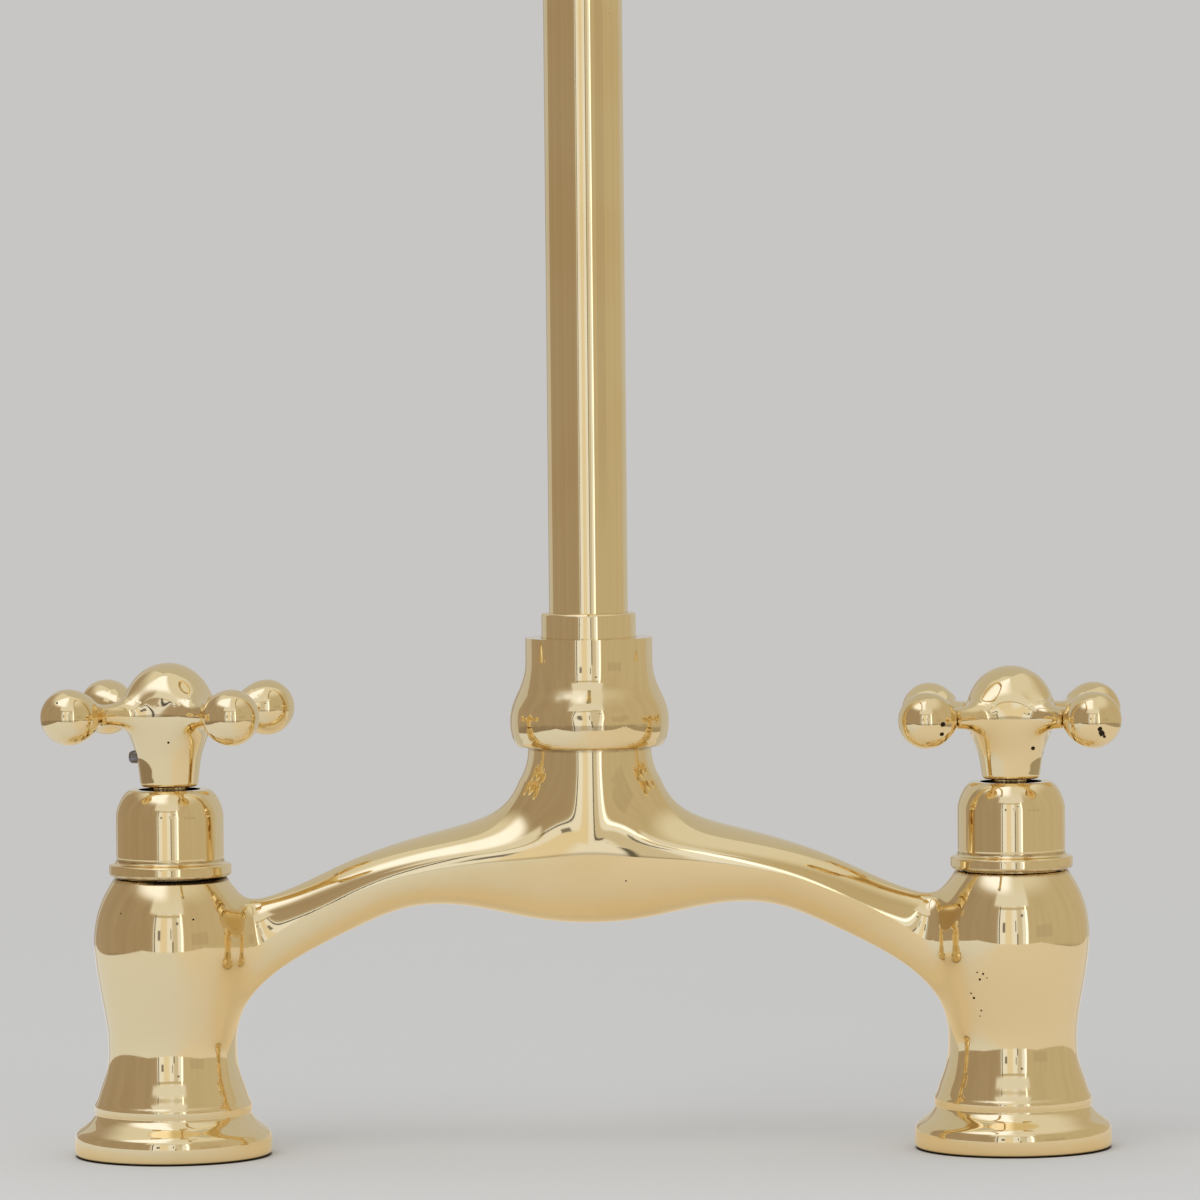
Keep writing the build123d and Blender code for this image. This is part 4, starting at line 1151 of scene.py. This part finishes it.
# ---------------------------------------------------------------- swan neck
@dataclass
class SwanNeck:
    """The spout tube: up, over and down towards the user."""

    SECTION = "section"
    radius: float = 9.525
    wall: float = 1.2
    seat: float = 120.0
    straight: float = 185.0
    bend_r: float = 90.0
    drop: float = 8.0
    stations: int = 260
    around: int = 96

    def group(self, material: bpy.types.Material) -> bpy.types.NodeTree:
        """Group that draws the tube's wall along its path."""
        tree, graph, size = new_group("swan_neck", list(self.sizes(self.radius)))
        arc = size["Bend radius"] * math.pi
        line = graph.node("GeometryNodeCurvePrimitiveLine", {"mode": "POINTS"})
        fine = graph.node("GeometryNodeResampleCurve", {}, {0: line, "Count": size["Stations"]})
        share = graph.number(graph.node("GeometryNodeSplineParameter"), "Factor")
        run = share * (size["Straight"] + arc + size["Drop"])
        up = run.of("MINIMUM", size["Straight"])
        down = (run - size["Straight"] - arc).of("MAXIMUM", 0.0)
        turn = (run - size["Straight"]).of("MAXIMUM", 0.0).of("MINIMUM", arc) / size["Bend radius"]
        y = (turn.of("COSINE") - 1.0) * size["Bend radius"]
        z = size["Seat"] + up + turn.of("SINE") * size["Bend radius"] - down
        place = graph.combined(0.0, y, z)
        path = graph.node("GeometryNodeSetPosition", {}, {0: fine, "Position": place})
        along = stored(graph, path, "along", run / MM, "FLOAT")
        sockets = {"Resolution": size["Around"], "Radius": size["Radius"]}
        circle = graph.node("GeometryNodeCurvePrimitiveCircle", {}, sockets)
        position = graph.node("GeometryNodeInputPosition")
        rim = stored(graph, circle, "rim", graph.vector("SCALE", position, scale=1 / MM))
        swept = graph.node("GeometryNodeCurveToMesh", {}, {0: along, 1: rim})
        rim_x, rim_y, _ = graph.parts(recalled(graph, "rim"))
        value = graph.combined(rim_x, rim_y, recalled(graph, "along", "FLOAT"))
        close_group(graph, stored(graph, swept, self.SECTION, value), material)
        return tree

    def sizes(self, radius: float) -> dict[str, float]:
        """The group's inputs for one skin of the tube, whose radius is in millimetres."""
        lengths = {
            "Radius": radius,
            "Seat": self.seat,
            "Straight": self.straight,
            "Bend radius": self.bend_r,
            "Drop": self.drop,
        }
        counts = {"Stations": self.stations, "Around": self.around}
        return {name: length * MM for name, length in lengths.items()} | counts

    def tube(self, tree: bpy.types.NodeTree, radius: float) -> bpy.types.Object:
        """One skin of the tube, with this radius, as a plain open mesh."""
        piece = mesh_object("swan_neck", [(0, 0, 0)], [])
        run_nodes(piece, tree, self.sizes(radius))
        return piece

    def build(self) -> bpy.types.Object:
        """Makes the tube with its wall and closes its ends.

        Returns:
            The dressed piece.
        """
        tree = self.group(TUBE_BRASS.material())
        outside = self.tube(tree, self.radius)
        inside = self.tube(tree, self.radius - self.wall)
        made = bmesh.new()
        made.from_mesh(outside.data)
        made.from_mesh(inside.data)
        edges = [edge for edge in made.edges if edge.is_boundary]
        for is_end in (False, True):
            ends = [e for e in edges if (e.verts[0].co.y < -self.bend_r * MM) == is_end]
            bmesh.ops.bridge_loops(made, edges=ends)
        bmesh.ops.recalc_face_normals(made, faces=made.faces)
        made.to_mesh(outside.data)
        made.free()
        bpy.data.objects.remove(inside)
        outside.data.shade_smooth()
        outside.data.set_sharp_from_angle(angle=math.radians(50))
        return finished(outside, TUBE_BRASS, "spout", "tube_brass", "spout_tube")


# ---------------------------------------------------------------- pieces kept from the frame
@dataclass
class KeptNodes:
    """CAD nodes whose shape is right and which only get their finish."""

    def finishes(self) -> dict[str, Finish]:
        """The finish of each kind of kept node, by the start of its name."""
        return {
            "swivel_nut": NUT_BRASS,
            "spout_spigot": NUT_BRASS,
            "outlet_sleeve": Brass("brass_outlet", BRASS, 0.05, lay=Lay.ROUND),
            "aerator_shell": MACHINED_BRASS,
            "cartridge_body": MACHINED_BRASS,
            "split_ring": MACHINED_BRASS,
            "spindle_seals": RUBBER,
            "spindle": MACHINED_BRASS,
            "circlip": SPRING_STEEL,
            "aerator_screen": MESH_STEEL,
            "aerator_insert": NYLON,
            "thrust_washer": PTFE,
            "slip_washer": PTFE,
            "fixed_disc": CERAMIC,
            "moving_disc": CERAMIC,
            "spigot_seals": RUBBER,
            "flange_seal": RUBBER,
            "seat_seal": RUBBER,
            "deck_seal": RUBBER,
            "aerator_washer": RUBBER,
        }

    def cap_finish(self, side: Side) -> Brass:
        """Finish of one bonnet cap, turned about its own axis."""
        name = f"brass_cap_{side.tag}"
        seams = ((68.0, 0.8, 0.0), (71.6, 0.5, 0.0))
        return Brass(name, BRASS, 0.05, lay=Lay.ROUND, axis_x=side.axis_x, seams=seams)

    def dress(self) -> None:
        """Gives every shown CAD node its material."""
        by_name = self.finishes()
        for side in Side:
            by_name[f"bonnet_cap_{side.tag}"] = self.cap_finish(side)
        for name, node in sorted(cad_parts.items()):
            if node.hide_render:
                continue
            finish = next(f for start, f in by_name.items() if name.startswith(start))
            node.data.materials.clear()
            node.data.materials.append(finish.material())
            LOG.info("%s: kept, %s", name, finish.name)


# ---------------------------------------------------------------- studio
@dataclass(frozen=True)
class RoomPart:
    """One part of the room that the polished brass mirrors.

    Its limits are two angles and the softness of its edges, in degrees: across from the
    front, positive to the right, and rise above the horizon.
    """

    colour: Any
    across: tuple[float, float, float] | None = None
    rise: tuple[float, float, float] | None = None
    share: float = 1.0

    def over(self, graph: Graph, behind: Any, across: Number, rise: Number) -> Any:
        """Lays the part over what is behind it and gives the colour of both."""
        share = self.share
        for angle, limits in ((across, self.across), (rise, self.rise)):
            if limits:
                share = angle.band(*limits) * share
        return graph.mixed(share, behind, self.colour)


DIM_WALL: Colour = (0.42, 0.355, 0.295)
SHELF = RoomPart(DIM_WALL, (34, 60, 0.7), (-2, 9, 0.6), 0.35)
PANES = (
    RoomPart((0.84, 0.80, 0.74), (-13, -3, 1.5)),  # warmer pane
    RoomPart((0.66, 0.64, 0.62), (5, 13, 1.2)),  # greyer pane
    RoomPart((0.55, 0.50, 0.40), rise=(27, 30, 0.6)),  # crossbar
)
THINGS = (
    RoomPart((0.05, 0.045, 0.04), (-22.6, -21.2, 0.35), (-99, 32, 2)),  # dark post
    RoomPart((0.10, 0.095, 0.09), (4.7, 6.3, 0.4), (-12, 2, 1)),  # stand
    RoomPart((0.10, 0.095, 0.09), (2.2, 3.4, 0.3), (4, 15, 1)),  # rail
    RoomPart((0.10, 0.09, 0.08), (11, 15, 0.6), (19, 22, 0.6), 0.85),  # upper box
    RoomPart((0.10, 0.09, 0.08), (-17, -13, 0.6), (3, 13, 0.8), 0.85),  # lower box
    RoomPart((2.1, 2.2, 2.4), (18.5, 20.6, 0.5)),  # glare at the frame
    RoomPart((0.80, 0.83, 0.92), (-33, 26, 3), (30.5, 95, 2.5)),  # panes overhead
    RoomPart((0.78, 0.79, 0.80), rise=(48, 110, 14)),  # ceiling
    RoomPart((1.20, 1.32, 1.75), (-85, -8, 14), (47.5, 100, 6.5)),  # skylight
    RoomPart((0.16, 0.13, 0.10), rise=(-99, -8.5, 1.5), share=0.45),  # floor
)


@dataclass
class Studio:
    """Table, backdrop, room and lamp around the tap, and the camera.

    Places and sizes are in metres, the lens is in millimetres and the camera's turn in
    degrees. Table edges are its half width, its front and its back.
    """

    backdrop: Colour = (0.571, 0.565, 0.552)
    table: Colour = (0.66, 0.66, 0.655)
    # Table colours seen only in the brass: painted light, brighter than the table, bluer to the
    # left and warmer to the right, and a painted warm reflection of the brass close in front of it
    table_painted_light_left: Colour = (0.76, 0.80, 0.90)
    table_painted_light_right: Colour = (0.80, 0.76, 0.74)
    table_painted_brass_reflection: Colour = (0.80, 0.72, 0.60)
    table_edges: tuple[float, float, float] = (0.42, -0.38, 0.50)
    foot_r: float = 0.0237
    board_edges: tuple[float, float, float] = (0.207, 0.14, 0.9)
    window: Colour = (0.90, 0.96, 1.15)
    light_wall: Colour = (0.58, 0.525, 0.43)
    light_streak: Colour = (0.54, 0.485, 0.385)
    dim_streak: Colour = (0.375, 0.31, 0.25)
    daylight: Colour = (0.86, 0.86, 0.86)
    # Painted contact shadow round each foot
    contact_shadow: Colour = (0.05, 0.04, 0.03)
    table_shade: float = 0.92
    table_fade: tuple[float, float] = (0.30, 0.85)
    streak_scale: tuple[float, float] = (0.09, 0.012)
    lamp_place: tuple[float, float, float] = (-0.7, -0.9, 1.5)
    lamp_size: float = 1.1
    lamp_power: float = 5.0
    camera_place: tuple[float, float, float] = (0.0066, -1.853, 0.2236)
    camera_turn: tuple[float, float, float] = (87.21, 0.555, 0.09)
    lens: float = 231.0

    def room(self, graph: Graph) -> bpy.types.NodeSocket:
        """What stands around the table, as the brass sees it.

        Args:
            graph: the world's nodes.

        Returns:
            Its colour by direction.
        """
        x, y, z = graph.parts(graph.node("ShaderNodeTexCoord").outputs["Generated"])
        across = x.of("ARCTAN2", -y) * math.degrees(1)
        rise = z.of("ARCSINE") * math.degrees(1)
        wide, tall = self.streak_scale
        streaks = graph.noise(graph.combined(across * wide, 0.0, rise * tall), 1.0, 3.0)
        dim = graph.mixed(streaks.ease(0.3, 0.7), DIM_WALL, self.dim_streak)
        light = graph.mixed(streaks.ease(0.35, 0.75), self.light_wall, self.light_streak)
        window = self.window
        for part in PANES:
            window = part.over(graph, window, across, rise)
        walls = (RoomPart(dim, (-165, -24, 5)), RoomPart(light, (22, 165, 1)), SHELF)
        colour = self.backdrop
        for part in (*walls, RoomPart(window, (-24, 22, 0.8)), *THINGS):
            colour = part.over(graph, colour, across, rise)
        return colour

    def make_world(self) -> None:
        """Makes the world: backdrop for the camera, the room for polished metal."""
        world = bpy.data.worlds.new("studio")
        bpy.context.scene.world = world
        world.use_nodes = True
        graph = Graph(world.node_tree)
        rays = graph.node("ShaderNodeLightPath")
        colour = graph.mixed(rays.outputs["Is Glossy Ray"], self.daylight, self.room(graph))
        direct, through = (rays.outputs[f"Is {kind} Ray"] for kind in ("Camera", "Transmission"))
        seen = Number(graph, direct).of("MAXIMUM", through)
        colour = graph.mixed(seen, colour, self.backdrop)
        light = graph.node("ShaderNodeBackground", {}, {"Color": colour, "Strength": 1.0})
        graph.node("ShaderNodeOutputWorld", {}, {"Surface": light})

    def table_material(self) -> bpy.types.Material:
        """Pale table that runs into the backdrop and ends at its front edge, with painted shade
        towards the back, painted light where the brass sees it and a painted contact shadow round
        each foot.
        """
        made, graph = new_material("table")
        glossy = graph.number(graph.node("ShaderNodeLightPath"), "Is Glossy Ray")
        place = graph.node("ShaderNodeTexCoord").outputs["Object"]
        x, y, _ = graph.parts(place)
        length = graph.node("ShaderNodeVectorMath", {"operation": "LENGTH"}, {0: place})
        away = graph.number(length, 1).ease(*self.table_fade)
        mottled = graph.noise(place, 0.25, 3.0, 2.0).ease(0.3, 0.7)
        # Darker towards the back: painted shade, with a little random mottling
        shade = tuple(channel * self.table_shade for channel in self.table)
        pale = graph.mixed(mottled * 0.15 + y.ease(-0.06, 0.14) * 0.85, self.table, shade)
        # For glossy rays the table carries painted light: brighter, bluer to the left and warmer to
        # the right
        seen = graph.mixed(x.ease(-0.12, 0.03), self.table_painted_light_left, self.table_painted_light_right)
        across = x.of("ABSOLUTE")
        # Painted warm reflection of the brass on the table just in front of the tap
        brass_reflection_share = y.ease(-0.06, 0.01) * across.ease(0.17, 0.12)
        seen = graph.mixed(brass_reflection_share, seen, self.table_painted_brass_reflection)
        colour = graph.mixed(glossy, pale, seen)
        # Painted contact shadow: a thin dark ring on the table round each foot
        from_foot = across - HALF_SPAN * MM
        from_foot = (from_foot * from_foot + y * y).of("SQRT") - self.foot_r
        colour = graph.mixed(from_foot.ease(0.0004, -0.0006), colour, self.contact_shadow)
        top = graph.node("ShaderNodeBsdfDiffuse", {}, {"Color": colour})
        far = graph.node("ShaderNodeEmission", {}, {"Color": (*self.backdrop, 1.0)})
        ground = graph.node("ShaderNodeMixShader", {}, {0: away * (1.0 - glossy), 1: top, 2: far})
        gone = graph.node("ShaderNodeBsdfTransparent")
        side, front, back = self.table_edges
        on_table = x.band(-side, side, 0.001) * y.band(front, back, 0.001)
        past = glossy * (1.0 - on_table)
        surface = graph.node("ShaderNodeMixShader", {}, {0: past, 1: ground, 2: gone})
        graph.node("ShaderNodeOutputMaterial", {}, {"Surface": surface})
        return made

    def make_table(self) -> None:
        """Lays the table under the tap."""
        table = lathe("table", ((0, 0), (9000, 0), (9000, -2), (0, -2)), (0, 0), 96)
        table.data.materials.append(self.table_material())

    def make_board(self) -> None:
        """Stands a pale board close behind the tap, seen only in the polished brass."""
        half, back, height = self.board_edges
        corners = ((-half, back, 0), (half, back, 0), (half, back, height), (-half, back, height))
        board = mesh_object("board", [Vector(c) / MM for c in corners], [(0, 1, 2, 3)])
        made, graph = new_material("board")
        pale = graph.node("ShaderNodeEmission", {}, {"Color": (*self.backdrop, 1.0)})
        gone = graph.node("ShaderNodeBsdfTransparent")
        facing = graph.node("ShaderNodeLayerWeight", {}, {"Blend": 0.5})
        aside = graph.number(facing, "Facing").ease(0.06, 0.12)
        surface = graph.node("ShaderNodeMixShader", {}, {0: aside, 1: gone, 2: pale})
        graph.node("ShaderNodeOutputMaterial", {}, {"Surface": surface})
        board.data.materials.append(made)
        for kind in ("camera", "diffuse", "transmission", "shadow"):
            setattr(board, f"visible_{kind}", False)

    def make_lamp(self) -> None:
        """Hangs one large soft lamp in front, above and to the left."""
        data = bpy.data.lights.new("softbox", "AREA")
        data.shape, data.size, data.energy = "DISK", self.lamp_size, self.lamp_power
        lamp = bpy.data.objects.new("softbox", data)
        lamp.location = self.lamp_place
        lamp.rotation_euler = (-lamp.location).to_track_quat("-Z", "Y").to_euler()
        lamp.visible_glossy = lamp.visible_camera = False
        bpy.context.scene.collection.objects.link(lamp)

    def make_camera(self) -> None:
        """Stands the camera where the photo was taken from."""
        data = bpy.data.cameras.new("camera")
        data.sensor_width = 36.0
        data.lens = self.lens
        data.clip_end = 50.0
        camera = bpy.data.objects.new("camera", data)
        camera.location = self.camera_place
        camera.rotation_euler = [math.radians(angle) for angle in self.camera_turn]
        bpy.context.scene.collection.objects.link(camera)
        bpy.context.scene.camera = camera

    def build(self) -> None:
        """Makes the whole studio."""
        self.make_world()
        self.make_table()
        self.make_board()
        self.make_lamp()
        self.make_camera()
        bpy.context.scene.view_settings.view_transform = "Standard"


def main() -> None:
    """Builds the tap's visible pieces, dresses the kept nodes and sets up the studio."""
    logging.basicConfig(level=logging.INFO, format="%(name)s: %(message)s")
    Studio().build()
    BridgeCasting().build()
    left_holes = ((0.4, 100.4, 0.28), (-25.3, 111.0, 0.22))
    right_holes = (
        (5.0, 97.0, 0.42), (20.3, 101.6, 0.70), (19.8, 102.8, 0.45), (20.9, 100.9, 0.4),
        (-17.4, 104.0, 0.55), (-17.5, 101.7, 0.45),
    )
    left = CrossHandle(Side.LEFT, 19.7, first_arm=35.3, grub_angle=170.3, pinholes=left_holes)
    right = CrossHandle(Side.RIGHT, 17.1, first_arm=41.6, grub_angle=356.6, pinholes=right_holes)
    left.build()
    right.build()
    GrubScrew(left, inner_end=5.70).build()
    GrubScrew(right, inner_end=3.85).build()
    SwanNeck().build()
    KeptNodes().dress()


if __name__ == "__main__":
    main()
